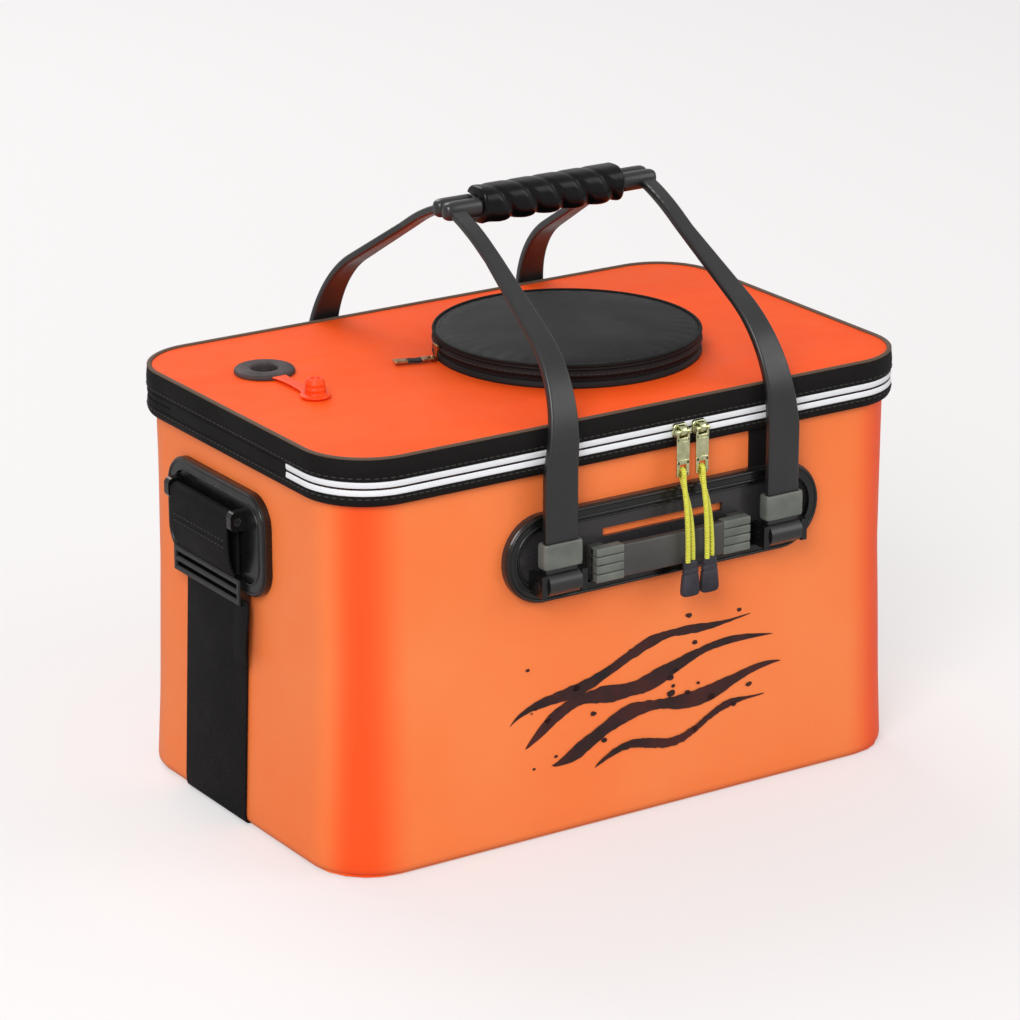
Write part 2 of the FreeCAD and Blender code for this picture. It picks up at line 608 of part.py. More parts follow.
# Grip sleeve: shut on the front rail, open to the back for the rear rail
grip = doc.addObject("PartDesign::Body", "grip_core")
sk = sketch(grip, "grip_profile", "XZ_Plane")
gripEnd = S["gripEnd"]
half, radius = S["gripHalfX"], S["gripR"]
polygon(sk, [(-half, 0), (half, 0), (half, radius - gripEnd), (half - gripEnd, radius),
             (-half + gripEnd, radius), (-half, radius - gripEnd)])
spin(grip, "grip_turn", sk, "H_Axis")
sk = sketch(grip, "grip_slot", "YZ_Plane")
railHalf = S["railH"] * 0.5
railFront = -S["railIn"] - S["railDeep"]
throat = railHalf + S["gripFit"]
mouth = throat + S["gripFlare"]
polygon(sk, [(railFront, -railHalf), (-S["railIn"], -railHalf), (-S["railIn"], -throat),
             (radius + 2, -mouth), (radius + 2, mouth), (-S["railIn"], throat),
             (-S["railIn"], railHalf), (railFront, railHalf)])
cut(grip, "grip_slot_cut", sk, half * 2 + 4, both=True)
grooves = []
for i in range(5):
    groove = doc.addObject("Part::Torus", "GripGroove%d" % i)
    bind(groove, "Radius1", radius + S["grooveR"] - S["grooveCut"])
    bind(groove, "Radius2", S["grooveR"])
    lean = FreeCAD.Rotation(V(0, 0, 1), table["grooveTilt"])
    groove.Placement = FreeCAD.Placement(V(0, 0, 0), lean.multiply(FreeCAD.Rotation(V(0, 1, 0), 90)))
    bind(groove, "Placement.Base.x", S["groovePitch"] * (i - 2))
    grooves.append(groove)
gripCut = minus("GripCut", grip, fuse("GripGrooves", grooves))
move(gripCut, S["handleX"], 0, S["railZ"])
keep(gripCut, "grip")

# Shoulder strap: down both short sides and through the groove under the base
strap = new_body("shoulder_strap")
sk = sketch(strap, "strap_path", "XZ_Plane")
t = S["strapT"]
low = S["grooveDeep"] - t
strapTop = S["sidePlateLow"] + S["lockGap"] + S["lockH"] - 8
inX = S["bodyHalfX"]
polygon(sk, [
    (-inX - t, strapTop), (-inX - t, S["flareTop"]), (-outX - t, S["baseT"]), (-outX - t, low),
    (outX + t, low), (outX + t, S["baseT"]), (inX + t, S["flareTop"]), (inX + t, strapTop),
    (inX, strapTop), (inX, S["flareTop"]), (outX, S["baseT"]), (outX, S["grooveDeep"]),
    (-outX, S["grooveDeep"]), (-outX, S["baseT"]), (-inX, S["flareTop"]), (-inX, strapTop)])
feature(strap, "Pad", "strap_pad", sk, S["strapW"], both=True)
move(strap, 0, S["strapShift"])


# Strap plates on the short sides, built for the left side and turned for the right;
# the frame of each plate reaches further to one side of the strap
def strap_side(word, turn):
    body = new_body(word + "_plate")
    half, zLow, zTop = S["sidePlateHalfY"], S["sidePlateLow"], S["sidePlateTop"]
    low, high = -half - S["plateShift"], half - S["plateShift"]
    face = inX + S["sidePlateT"]
    lockHalf = S["strapW"] * 0.5 + S["lockBar"]
    lockTop = strapTop
    lockLow = lockTop - S["lockH"]
    sk = sketch(body, word + "_plate_outline", "YZ_Plane", -inX)
    rounded(sk, low, high, zLow, zTop, S["sidePlateR"])
    pad = feature(body, "Pad", word + "_plate_pad", sk, S["sidePlateT"], back=True)
    front = -face.value
    chamfer(body, pad, 1.2, lambda b: abs(b.XMin - front) < 0.01 and abs(b.XMax - front) < 0.01)
    rim = S["sideRim"]
    sk = sketch(body, word + "_plate_recess", "YZ_Plane", -face + S["sideRecess"])
    rounded(sk, low + rim, high - rim, zLow + rim, zTop - rim, S["sidePlateR"] - rim * 0.5)
    cut(body, word + "_recess_cut", sk, S["sideRecess"] + 1)
    sk = sketch(body, word + "_plate_notch", "YZ_Plane", -face - 1)
    rectangle(sk, -lockHalf - S["lockGap"], lockHalf + S["lockGap"], zLow - 1, lockTop + S["lockGap"])
    cut(body, word + "_notch_cut", sk, S["sidePlateT"] + 2, back=True)
    loopHalf = S["loopW"] * 0.5
    pinX = -inX - S["strapPinOut"]
    lugIn = loopHalf + S["pinLugGap"]
    sk = sketch(body, word + "_plate_lugs", "YZ_Plane", -face + S["sideRecess"])
    for sign in (1, -1):
        rectangle(sk, lugIn * sign, (lugIn + S["pinLugW"]) * sign,
                  S["strapPinZ"] - S["loopTop"], S["strapPinZ"] + S["loopTop"])
    lugOut = S["strapPinOut"] - S["sidePlateT"] + S["sideRecess"] + S["strapPinR"] + 2
    pad = feature(body, "Pad", word + "_lug_pad", sk, lugOut, back=True)
    nose = (-face + S["sideRecess"] - lugOut).value
    fillet(body, pad, S["pinLugEdge"], lambda b: abs(b.XMin - nose) < 0.01 and b.XLength < 0.01
           and b.ZLength < 0.01)
    sk = sketch(body, word + "_plate_pin", "XZ_Plane")
    circle(sk, pinX, S["strapPinZ"], S["strapPinR"])
    cut(body, word + "_pin_cut", sk, half * 2, both=True)
    move(body, 0, S["strapShift"], 0, turn)

    pinHalf = lugIn + S["pinLugW"]
    flip = 1 if turn == 0 else -1
    pinStart = S["strapShift"] - pinHalf
    pin = rod(word + "StrapPin", "y", S["strapPinR"], pinHalf * 2, pinX * flip, pinStart, S["strapPinZ"])
    keep(pin, word + "_strap_pin")

    loop = new_body(word + "_strap_loop")
    sk = sketch(loop, word + "_loop_side", "XZ_Plane")
    inner = -face + S["sideRecess"] - 0.5
    outer = inner - S["loopT"]
    topZ = S["strapPinZ"] + S["loopTop"]
    polygon(sk, [(inner, lockTop + S["lockGap"]), (inner, topZ), (outer + 3, topZ), (outer, topZ - 4),
                 (outer, lockTop + 2), (outer + 1.5, lockTop), (inner - 2, lockTop)])
    circle(sk, pinX, S["strapPinZ"], S["strapPinR"])
    feature(loop, "Pad", word + "_loop_pad", sk, S["loopW"], both=True)
    move(loop, 0, S["strapShift"], 0, turn)

    lock = new_body(word + "_ladder_lock")
    sk = sketch(lock, word + "_lock_frame", "YZ_Plane", -inX - S["strapT"])
    rectangle(sk, -lockHalf, lockHalf, lockLow, lockTop)
    slotH = (S["lockH"] - S["lockBar"] * 3) * 0.5
    for i in (1, 2):
        slotLow = lockLow + S["lockBar"] * i + slotH * (i - 1)
        rectangle(sk, -S["strapW"] * 0.5, S["strapW"] * 0.5, slotLow, slotLow + slotH)
    pad = feature(lock, "Pad", word + "_lock_pad", sk, S["lockT"], back=True)
    front = (-inX - S["strapT"] - S["lockT"]).value
    chamfer(lock, pad, 0.8, lambda b: abs(b.XMin - front) < 0.01 and abs(b.XMax - front) < 0.01)
    move(lock, 0, S["strapShift"], 0, turn)


strap_side("left", 0)
strap_side("right", 180)

# Hatch slider and its swinging pull, built along +X and turned about the hatch centre
sliderHalf = S["hatchSliderW"] * 0.5
lugHalf = S["hatchLugW"] * 0.5
pinAt = hr + S["hatchPinOut"]
pullMid = S["lidTop"] + S["hatchPinUp"]
lugLow = pullMid - S["hatchLugR"]
block = box("HatchBlock", hr - 4, hr + 2, -sliderHalf, sliderHalf, wallLow, coverLow)
stem = box("HatchStem", hr + 0.6, hr + 2, -lugHalf, lugHalf, lugLow, wallLow)
lug = box("HatchLug", hr + 0.6, pinAt + S["hatchLugR"], -lugHalf, lugHalf, lugLow,
          pullMid + S["hatchLugR"])
joined = fuse("HatchSliderSolid", [block, stem, lug])
bore = rod("HatchPullBore", "y", S["pullPinR"] + S["pullFit"], S["hatchSliderW"], pinAt, -sliderHalf, pullMid)
wallTool = rod("HatchWallTool", "z", hr, coverLow - wallLow, 0, 0, wallLow)
solid = minus("HatchSliderCut", minus("HatchSliderBored", joined, bore), wallTool)
move(solid, hx, hy, 0, S["pullAngle"])
keep(solid, "hatch_slider")
pullHalf = S["pullW"] * 0.5
prongIn = lugHalf + S["pullGap"]
thin = S["pullT"] * 0.5
solids = [
    box("HatchTongue", pinAt + S["hatchLugR"] + 1, pinAt + S["pullL"], -pullHalf, pullHalf,
        pullMid - thin, pullMid + thin),
    rod("HatchPullPin", "y", S["pullPinR"], S["pullW"], pinAt, -pullHalf, pullMid)]
for word, y0, y1 in (("Left", -pullHalf, -prongIn), ("Right", prongIn, pullHalf)):
    solids.append(box("HatchProng" + word, pinAt - S["pullPinR"], pinAt + S["hatchLugR"] + 2, y0, y1,
                      pullMid - thin, pullMid + thin))
pull = fuse("HatchPullSolid", solids)
move(pull, hx, hy, 0, S["pullAngle"])
keep(pull, "hatch_pull")

# Zip sliders on the front, each with a bail, a forked puller, a cord loop and a rubber end
bandFace = -bandY
pinY = bandFace - S["sliderGap"] - S["sliderT"] - S["bailOut"]
seam = S["seamZ"]


def corner_path(points, share):
    path = []
    last = points[0]
    for i in range(1, len(points) - 1):
        a, b, c = points[i - 1], points[i], points[i + 1]
        before, after = a - b, c - b
        short = min(before.Length, after.Length)
        u, w = before.normalize(), after.normalize()
        half = u.getAngle(w) / 2
        cutBack = share * short
        radius = cutBack * math.tan(half)
        start, end = b + u * cutBack, b + w * cutBack
        middle = (u + w).normalize()
        mid = b + middle * (radius / math.sin(half) - radius)
        path.append(Part.LineSegment(last, start).toShape())
        path.append(Part.Arc(start, mid, end).toShape())
        print("cord bend radius %.2f" % radius)
        last = end
    path.append(Part.LineSegment(last, points[-1]).toShape())
    return Part.Wire(path)


def zip_pull(word, x):
    half, tall = S["sliderW"] * 0.5, S["sliderH"] * 0.5
    outer = bandFace - S["sliderGap"]
    inner = bandFace + bandT + S["sliderGap"] - 0.1
    bailHalf = S["bailW"] * 0.5
    parts = [
        box(word + "Face", x - half, x + half, outer - S["sliderT"], outer, seam - tall, seam + tall),
        box(word + "Back", x - half, x + half, inner, inner + S["backT"],
            seam - S["backH"] * 0.5, seam + S["backH"] * 0.5),
        box(word + "Neck", x - S["neckW"] * 0.5, x + S["neckW"] * 0.5, outer, inner,
            seam - S["neckH"] * 0.5, seam + S["neckH"] * 0.5),
        box(word + "Bail", x - bailHalf, x + bailHalf, pinY - S["bailR"], outer - S["sliderT"],
            seam - S["bailR"], seam + S["bailR"])]
    bore = rod(word + "Bore", "x", S["zipPinR"] + S["zipPinFit"], S["bailW"] + 2,
               x - bailHalf - 1, pinY, seam)
    keep(minus(word + "Slider", fuse(word + "SliderSolid", parts), bore), word + "_slider")

    forkIn = bailHalf + S["forkGap"]
    forkOut = forkIn + S["forkW"]
    thick = S["pullerT"] * 0.5
    foot = seam - S["pullerL"]
    web = box(word + "Web", x - forkOut, x + forkOut, pinY - thick, pinY + thick, foot, seam - S["webTop"])
    eye = box(word + "Eye", x - S["eyeW"] * 0.5, x + S["eyeW"] * 0.5, pinY - 5, pinY + 5,
              foot + S["eyeLow"], foot + S["eyeLow"] + S["eyeH"])
    parts = [minus(word + "WebCut", web, eye)]
    for sign in (-1, 1):
        near = x + forkIn if sign > 0 else x - forkOut
        parts.append(box("%sProng%d" % (word, sign + 1), near, near + S["forkW"], pinY - thick,
                         pinY + thick, seam - S["webTop"] - 1, seam))
        parts.append(rod("%sKnuckle%d" % (word, sign + 1), "x", S["forkR"], S["forkW"], near, pinY, seam))
    parts.append(rod(word + "ZipPin", "x", S["zipPinR"], forkOut * 2, x - forkOut, pinY, seam))
    keep(fuse(word + "Puller", parts), word + "_puller")

    r = table["cordR"]
    hold = pinY.value
    barTop = foot.value + table["eyeLow"]
    over = thick.value + r + 0.2
    endY = table["endY"]
    top = table["cordEnd"]
    xs = x.value
    points = [
        V(xs - 2.4, endY - 1.0, top), V(xs - 2.4, endY - 1.0, top + 23),
        V(xs - 0.9, hold - over, foot.value - 1), V(xs - 0.4, hold - over, barTop + r + 0.2),
        V(xs + 0.4, hold + over, barTop + r + 0.2), V(xs + 0.9, hold + over, foot.value - 1),
        V(xs + 2.4, endY + 1.0, top + 23), V(xs + 2.4, endY + 1.0, top)]
    path = corner_path(points, 0.45)
    section = Part.Wire(Part.Circle(points[0], V(0, 0, 1), r).toShape())
    cord = doc.addObject("Part::Feature", word + "Cord")
    cord.Shape = path.makePipeShell([section], True, False)
    print(word, "cord volume ratio %.4f" % (cord.Shape.Volume / (math.pi * r * r * path.Length)))
    keep(cord, word + "_pull_cord")

    tip = new_body(word + "_pull_end")
    sk = sketch(tip, word + "_end_plan", "XY_Plane", S["cordEnd"] - S["endH"])
    rectangle(sk, x - S["endW"] * 0.5, x + S["endW"] * 0.5,
              S["endY"] - S["endT"] * 0.5, S["endY"] + S["endT"] * 0.5)
    pad = feature(tip, "Pad", word + "_end_pad", sk, S["endH"])
    chamfer(tip, pad, S["endChamfer"], lambda b: b.ZLength > 5 or b.ZMax < table["cordEnd"] - 5)


zip_pull("left", S["sliderLeftX"])
zip_pull("right", S["sliderRightX"])

doc.recompute()
for obj in doc.Objects:
    if "Invalid" in obj.State or "Error" in obj.State:
        raise RuntimeError("failed: " + obj.Label)
os.makedirs("parts", exist_ok=True)
for piece in pieces:
    shape = piece.Shape
    if shape.isNull() or not shape.isValid():
        raise RuntimeError("bad shape: " + piece.Label)
    shape.exportStep("parts/%s.step" % piece.Label)
    b = shape.BoundBox
    print("%-18s solids %d  volume %9.1f  x %7.2f %7.2f  y %7.2f %7.2f  z %7.2f %7.2f" % (
        piece.Label, len(shape.Solids), shape.Volume, b.XMin, b.XMax, b.YMin, b.YMax, b.ZMin, b.ZMax))
print(len(pieces), "pieces")
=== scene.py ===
import math
import random

import bpy
import bmesh
from mathutils import Matrix, Vector, noise


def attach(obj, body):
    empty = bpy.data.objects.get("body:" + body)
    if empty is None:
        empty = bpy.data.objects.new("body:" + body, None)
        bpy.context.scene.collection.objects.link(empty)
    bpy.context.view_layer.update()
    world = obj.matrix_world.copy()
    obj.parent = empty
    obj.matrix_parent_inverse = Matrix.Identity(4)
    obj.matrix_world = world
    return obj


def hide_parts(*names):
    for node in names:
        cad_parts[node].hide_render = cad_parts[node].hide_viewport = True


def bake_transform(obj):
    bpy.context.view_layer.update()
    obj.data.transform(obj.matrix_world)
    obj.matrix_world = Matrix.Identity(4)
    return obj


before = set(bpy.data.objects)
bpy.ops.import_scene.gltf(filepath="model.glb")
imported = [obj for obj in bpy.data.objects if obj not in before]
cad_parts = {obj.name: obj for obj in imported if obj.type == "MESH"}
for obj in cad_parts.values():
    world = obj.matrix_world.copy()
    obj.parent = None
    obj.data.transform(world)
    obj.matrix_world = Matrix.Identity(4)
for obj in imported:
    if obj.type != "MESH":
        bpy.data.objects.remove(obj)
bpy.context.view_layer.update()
bpy.context.scene.view_settings.view_transform = "Standard"
mm = 0.001
up, ahead = Vector((0, 0, 1)), Vector((0, -1, 0))
alongX, alongY = Vector((1, 0, 0)), Vector((0, 1, 0))
print("frame loaded")


# Small helpers
def putIn(name, data):
    made = bpy.data.objects.new(name, data)
    bpy.context.scene.collection.objects.link(made)
    return made


def anglesOf(count):
    return [2 * math.pi * i / count for i in range(count)]


def spoke(angle):
    return Vector((math.cos(angle), math.sin(angle), 0))


# Colours and shader nodes
def tint(red, green, blue):
    def linear(value):
        value /= 255
        return value / 12.92 if value <= 0.04045 else ((value + 0.055) / 1.055) ** 2.4
    return (linear(red), linear(green), linear(blue), 1)


def newMaterial(name, **sockets):
    made = bpy.data.materials.new(name)
    made.use_nodes = True
    tree = made.node_tree
    shader = tree.nodes["Principled BSDF"]
    for socket, value in sockets.items():
        shader.inputs[socket.replace("_", " ")].default_value = value
    return made, tree, shader


def addNode(tree, kind, inputs=None, **settings):
    made = tree.nodes.new(kind)
    for name, value in settings.items():
        setattr(made, name, value)
    for name, value in (inputs or {}).items():
        if hasattr(value, "is_linked"):
            tree.links.new(value, made.inputs[name])
        else:
            made.inputs[name].default_value = value
    return made


def placeOn(tree, kind="Object"):
    return addNode(tree, "ShaderNodeTexCoord").outputs[kind]


def grain(tree, place, scale, detail=3.0, rough=0.55):
    made = addNode(tree, "ShaderNodeTexNoise", {"Vector": place, "Scale": scale, "Detail": detail,
                                                "Roughness": rough})
    return made.outputs["Fac"]


def ramp(tree, value, start, end):
    # Start and end are each a position and a colour, or a number for a grey
    made = addNode(tree, "ShaderNodeValToRGB", {"Fac": value})
    for element, (position, shade) in zip(made.color_ramp.elements, (start, end)):
        element.position = position
        element.color = (shade, shade, shade, 1) if isinstance(shade, float) else shade
    return made.outputs["Color"]


def rampTo(tree, shader, socket, value, start, end):
    tree.links.new(ramp(tree, value, start, end), shader.inputs[socket])


def mathOf(tree, operation, *values):
    return addNode(tree, "ShaderNodeMath", dict(enumerate(values)), operation=operation).outputs[0]


def blend(tree, share, shade, other):
    made = addNode(tree, "ShaderNodeMix", {0: share, 6: shade, 7: other}, data_type="RGBA")
    return made.outputs[2]


def relief(tree, shader, layers):
    # Each layer is a height, its strength and its depth in metres
    last = None
    for height, strength, depth in layers:
        made = addNode(tree, "ShaderNodeBump", {"Height": height, "Strength": strength, "Distance": depth})
        if last:
            tree.links.new(last, made.inputs["Normal"])
        last = made.outputs["Normal"]
    tree.links.new(last, shader.inputs["Normal"])


def weaveOf(tree, place, pitchU, pitchV):
    # Height of a plain weave whose threads run along the two map directions, in metres
    parts = addNode(tree, "ShaderNodeSeparateXYZ", {"Vector": place}).outputs
    across = mathOf(tree, "SINE", mathOf(tree, "MULTIPLY", parts["X"], 2 * math.pi / pitchU))
    along = mathOf(tree, "SINE", mathOf(tree, "MULTIPLY", parts["Y"], 2 * math.pi / pitchV))
    product = mathOf(tree, "MULTIPLY", across, along)
    return mathOf(tree, "MULTIPLY_ADD", product, 0.5, 0.5)


# Noise scales that the finishes of one kind share
sheetGrain = {"coatRough": 0.32, "dust": 60, "pebble": 950, "dent": 14, "fine": 1500}
clothGrain = {"sheenRough": 0.4, "fibre": 1800, "dust": 25, "weaveShare": 0.6, "fibreShare": 0.5}
mouldedGrain = {"wear": 90, "flow": 30}
metalGrain = {"stain": 240, "streak": 900}
cordGrain = {"sheen": 0.25, "gloss": 0.35, "twist": 1.2, "crossTwist": 1.0, "crossShare": 0.8, "fuzz": 600}


def sheetMaterial(name, look):
    # Welded foam sheet with a fine leathery grain
    made, tree, shader = newMaterial(name, Specular_IOR_Level=look["gloss"], Coat_Weight=look["coat"],
                                     Coat_Roughness=sheetGrain["coatRough"])
    place = placeOn(tree)
    patches = grain(tree, place, look["patchScale"], 4)
    shade = ramp(tree, patches, (0.3, tint(*look["deep"])), (0.7, tint(*look["pale"])))
    if "corner" in look:
        # Painted shade: the orange turns deeper round the upright corners, where the glossy sheet reflects
        # less light
        parts = addNode(tree, "ShaderNodeSeparateXYZ", {"Vector": place}).outputs
        far = [mathOf(tree, "MULTIPLY", mathOf(tree, "ABSOLUTE", parts[axis]), 1 / (half * mm))
               for axis, half in zip("XY", look["cornerShadeHalf"])]
        limits = {"Value": mathOf(tree, "MINIMUM", *far), "From Min": look["cornerShadeFrom"],
                  "From Max": look["cornerShadeTo"]}
        cornerShade = addNode(tree, "ShaderNodeMapRange", limits, interpolation_type="SMOOTHSTEP")
        shade = blend(tree, cornerShade.outputs["Result"], shade, tint(*look["corner"]))
    tree.links.new(shade, shader.inputs["Base Color"])
    rough = grain(tree, place, sheetGrain["dust"], 5)
    rampTo(tree, shader, "Roughness", rough, (0.3, look["rough"] - 0.05), (0.7, look["rough"] + 0.07))
    pebble = addNode(tree, "ShaderNodeTexVoronoi", {"Vector": place, "Scale": sheetGrain["pebble"]},
                     feature="SMOOTH_F1")
    relief(tree, shader, [(pebble.outputs["Distance"], 0.10, 0.0003),
                          (grain(tree, place, sheetGrain["dent"], 2), 0.10, 0.004),
                          (grain(tree, place, sheetGrain["fine"], 2), 0.06, 0.0002)])
    return made


def clothMaterial(name, look):
    # Woven webbing or coated cloth; the weave follows the map laid along each strip
    made, tree, shader = newMaterial(name, Specular_IOR_Level=look["gloss"], Sheen_Weight=look["sheen"],
                                     Sheen_Roughness=clothGrain["sheenRough"])
    shader.inputs["Sheen Tint"].default_value = tint(*look["pale"])
    weave = weaveOf(tree, placeOn(tree, "UV"), look["pitchU"], look["pitchV"])
    fibre = grain(tree, placeOn(tree), clothGrain["fibre"], 2)
    mixed = mathOf(tree, "ADD", mathOf(tree, "MULTIPLY", weave, clothGrain["weaveShare"]),
                   mathOf(tree, "MULTIPLY", fibre, clothGrain["fibreShare"]))
    rampTo(tree, shader, "Base Color", mixed, (0.15, tint(*look["deep"])), (0.95, tint(*look["pale"])))
    dust = grain(tree, placeOn(tree), clothGrain["dust"], 5)
    rampTo(tree, shader, "Roughness", dust, (0.3, look["rough"] - 0.08), (0.75, look["rough"] + 0.1))
    relief(tree, shader, [(weave, look["depth"], 0.0006), (fibre, 0.12, 0.0003)])
    return made


def mouldedMaterial(name, look):
    # Moulded plastic or rubber: fine spark grain, faint flow marks, dulled patches
    made, tree, shader = newMaterial(name, Specular_IOR_Level=look["gloss"], Coat_Weight=look["coat"],
                                     Coat_Roughness=look["coatRough"])
    place = placeOn(tree)
    flow = grain(tree, place, look["patchScale"], 4)
    shade = ramp(tree, flow, (0.3, tint(*look["deep"])), (0.75, tint(*look["pale"])))
    if "sunk" in look:
        # The sunk floor of the long plates is a lighter grey
        parts = addNode(tree, "ShaderNodeSeparateXYZ", {"Vector": place}).outputs
        within = [mathOf(tree, "LESS_THAN", mathOf(tree, "ABSOLUTE", parts[axis]), limit * mm)
                  for axis, limit in zip("XY", look["sunkWithin"])]
        shade = blend(tree, mathOf(tree, "MULTIPLY", *within), shade, tint(*look["sunk"]))
    tree.links.new(shade, shader.inputs["Base Color"])
    wear = grain(tree, place, mouldedGrain["wear"], 6, 0.7)
    rampTo(tree, shader, "Roughness", wear, (0.35, look["rough"] - 0.06), (0.7, look["rough"] + 0.1))
    relief(tree, shader, [(grain(tree, place, look["grainScale"], 3), look["grain"], 0.0003),
                          (grain(tree, place, mouldedGrain["flow"], 2), 0.06, 0.002)])
    return made


def metalMaterial(name, look):
    made, tree, shader = newMaterial(name, Metallic=1.0)
    place = placeOn(tree)
    stain = grain(tree, place, metalGrain["stain"], 5, 0.65)
    rampTo(tree, shader, "Base Color", stain, (0.3, tint(*look["deep"])), (0.65, tint(*look["pale"])))
    stretched = addNode(tree, "ShaderNodeMapping", {"Vector": place, "Scale": look["brush"]})
    streak = grain(tree, stretched.outputs["Vector"], metalGrain["streak"], 3)
    rampTo(tree, shader, "Roughness", streak, (0.3, look["rough"] - 0.07), (0.7, look["rough"] + 0.1))
    relief(tree, shader, [(streak, 0.06, 0.0002), (stain, 0.05, 0.0004)])
    return made


def cordMaterial(name, look):
    made, tree, shader = newMaterial(name, Sheen_Weight=cordGrain["sheen"],
                                     Specular_IOR_Level=cordGrain["gloss"])
    place = placeOn(tree)
    strands = {"Vector": place, "Scale": look["braid"], "Distortion": cordGrain["twist"], "Detail": 2.0}
    braid = addNode(tree, "ShaderNodeTexWave", strands, bands_direction="DIAGONAL")
    strands = {"Vector": place, "Scale": look["braid"] * cordGrain["crossShare"],
               "Distortion": cordGrain["crossTwist"]}
    other = addNode(tree, "ShaderNodeTexWave", strands, bands_direction="Z")
    plait = mathOf(tree, "MULTIPLY", braid.outputs["Fac"], other.outputs["Fac"])
    rampTo(tree, shader, "Base Color", plait, (0.05, tint(*look["deep"])), (0.5, tint(*look["pale"])))
    rampTo(tree, shader, "Roughness", grain(tree, place, cordGrain["fuzz"], 3), (0.3, 0.5), (0.7, 0.7))
    relief(tree, shader, [(plait, 0.35, 0.0004)])
    return made


def looksOf(words, rows):
    # A row of values for each finish, under the words as column names
    return {name: dict(zip(words.split(), row)) for name, row in rows.items()}


# Colours are in 0 to 255, weave pitches in metres
sheetLooks = {
    # Painted sheen: the walls' orange is lighter than the lid's, standing in for the lamps' reflections on
    # the sides
    "evaSidePaintedSheen": {"deep": (255, 125, 60), "pale": (255, 139, 76), "patchScale": 7, "gloss": 0.3, "coat": 0.08,
                # The corner colour is painted shade round the upright corners
                "rough": 0.46, "corner": (255, 84, 22), "cornerShadeHalf": (197, 122), "cornerShadeFrom": 0.77,
                "cornerShadeTo": 0.92},
    "evaLid": {"deep": (250, 84, 25), "pale": (254, 98, 35), "patchScale": 6, "gloss": 0.1, "coat": 0.02,
               "rough": 0.52}}
clothLooks = looksOf("deep pale pitchU pitchV sheen gloss rough depth", {
    "bandCloth": ((8, 7, 7), (30, 28, 27), 0.0016, 0.0012, 0.02, 0.12, 0.62, 0.35),
    "strapCloth": ((8, 7, 8), (28, 26, 28), 0.0026, 0.0018, 0.03, 0.12, 0.6, 0.5),
    "hatchCloth": ((12, 12, 13), (33, 33, 34), 0.0011, 0.0011, 0.03, 0.2, 0.55, 0.25),
    "zipTape": ((222, 224, 228), (250, 250, 252), 0.0014, 0.0008, 0.0, 0.3, 0.42, 0.12),
    # The tan of the lid's edge bead is a painted highlight along the black band's edge
    "pipingPaintedHighlight": ((52, 40, 33), (122, 98, 80), 0.0014, 0.001, 0.05, 0.2, 0.55, 0.3),
    "thread": ((34, 33, 33), (74, 72, 71), 0.0006, 0.0006, 0.05, 0.2, 0.6, 0.3),
})
mouldedLooks = looksOf("deep pale patchScale gloss coat coatRough rough grainScale grain", {
    "zipTeeth": ((20, 20, 24), (42, 42, 50), 80, 0.5, 0.1, 0.3, 0.4, 900, 0.05),
    "plateGloss": ((11, 11, 11), (22, 22, 21), 18, 0.35, 0.3, 0.1, 0.3, 1400, 0.03),
    "barSatin": ((56, 55, 53), (74, 73, 70), 30, 0.5, 0.2, 0.25, 0.42, 1100, 0.06),
    "keeperSatin": ((88, 92, 86), (114, 118, 110), 60, 0.5, 0.15, 0.3, 0.44, 1300, 0.06),
    "lockMoulded": ((10, 10, 10), (24, 24, 24), 40, 0.35, 0.3, 0.18, 0.36, 1200, 0.05),
    "frameMoulded": ((22, 22, 22), (40, 40, 40), 25, 0.45, 0.05, 0.4, 0.5, 1000, 0.1),
    "armRubber": ((16, 16, 17), (32, 32, 32), 22, 0.5, 0.45, 0.25, 0.42, 1600, 0.12),
    "gripRubber": ((3, 3, 4), (9, 9, 10), 40, 0.2, 0.12, 0.12, 0.3, 1500, 0.08),
    "grommetRubber": ((54, 46, 46), (88, 77, 77), 70, 0.25, 0.0, 0.4, 0.58, 1500, 0.15),
    "plugRubber": ((238, 66, 14), (255, 86, 28), 90, 0.25, 0.05, 0.35, 0.45, 1200, 0.08),
    "endRubber": ((38, 37, 42), (64, 62, 70), 90, 0.3, 0.0, 0.4, 0.52, 1600, 0.15),
    "ink": ((24, 6, 6), (74, 20, 14), 45, 0.4, 0.1, 0.35, 0.5, 1100, 0.1),
})
mouldedLooks["plateGloss"].update(sunk=(48, 46, 48), sunkWithin=(130, 123.2))
metalLooks = looksOf("deep pale brush rough", {
    "zipMetal": ((192, 194, 150), (228, 230, 184), (6, 1, 1), 0.22),
    "hatchMetal": ((120, 78, 46), (206, 152, 104), (1, 6, 1), 0.3),
    "pinSteel": ((96, 98, 102), (168, 170, 174), (6, 1, 1), 0.26),
})
cordLooks = {"cordBraid": {"deep": (190, 188, 44), "pale": (246, 244, 96), "braid": 420}}
finishes = {}
for maker, looks in ((sheetMaterial, sheetLooks), (clothMaterial, clothLooks),
                     (mouldedMaterial, mouldedLooks), (metalMaterial, metalLooks), (cordMaterial, cordLooks)):
    for name, look in looks.items():
        finishes[name] = maker(name, look)
print("finishes ready", len(finishes))


# Shapes: strips swept along a path, softened profiles, rounded blocks
def roundCorner(back, here, on, radius, steps):
    # Points round a corner, between the spots before and after it
    back, on = back - here, on - here
    reach = min(radius, back.length * 0.45, on.length * 0.45)
    start, end = here + back.normalized() * reach, here + on.normalized() * reach
    shares = [k / steps for k in range(steps + 1)]
    return [start * (1 - t) ** 2 + here * 2 * t * (1 - t) + end * t * t for t in shares]


def soften(corners, radius, steps=3):
    spots = [Vector(corner) for corner in corners]
    out = []
    for i, here in enumerate(spots):
        out += roundCorner(spots[i - 1], here, spots[(i + 1) % len(spots)], radius, steps)
    return [(spot.x, spot.y) for spot in out]


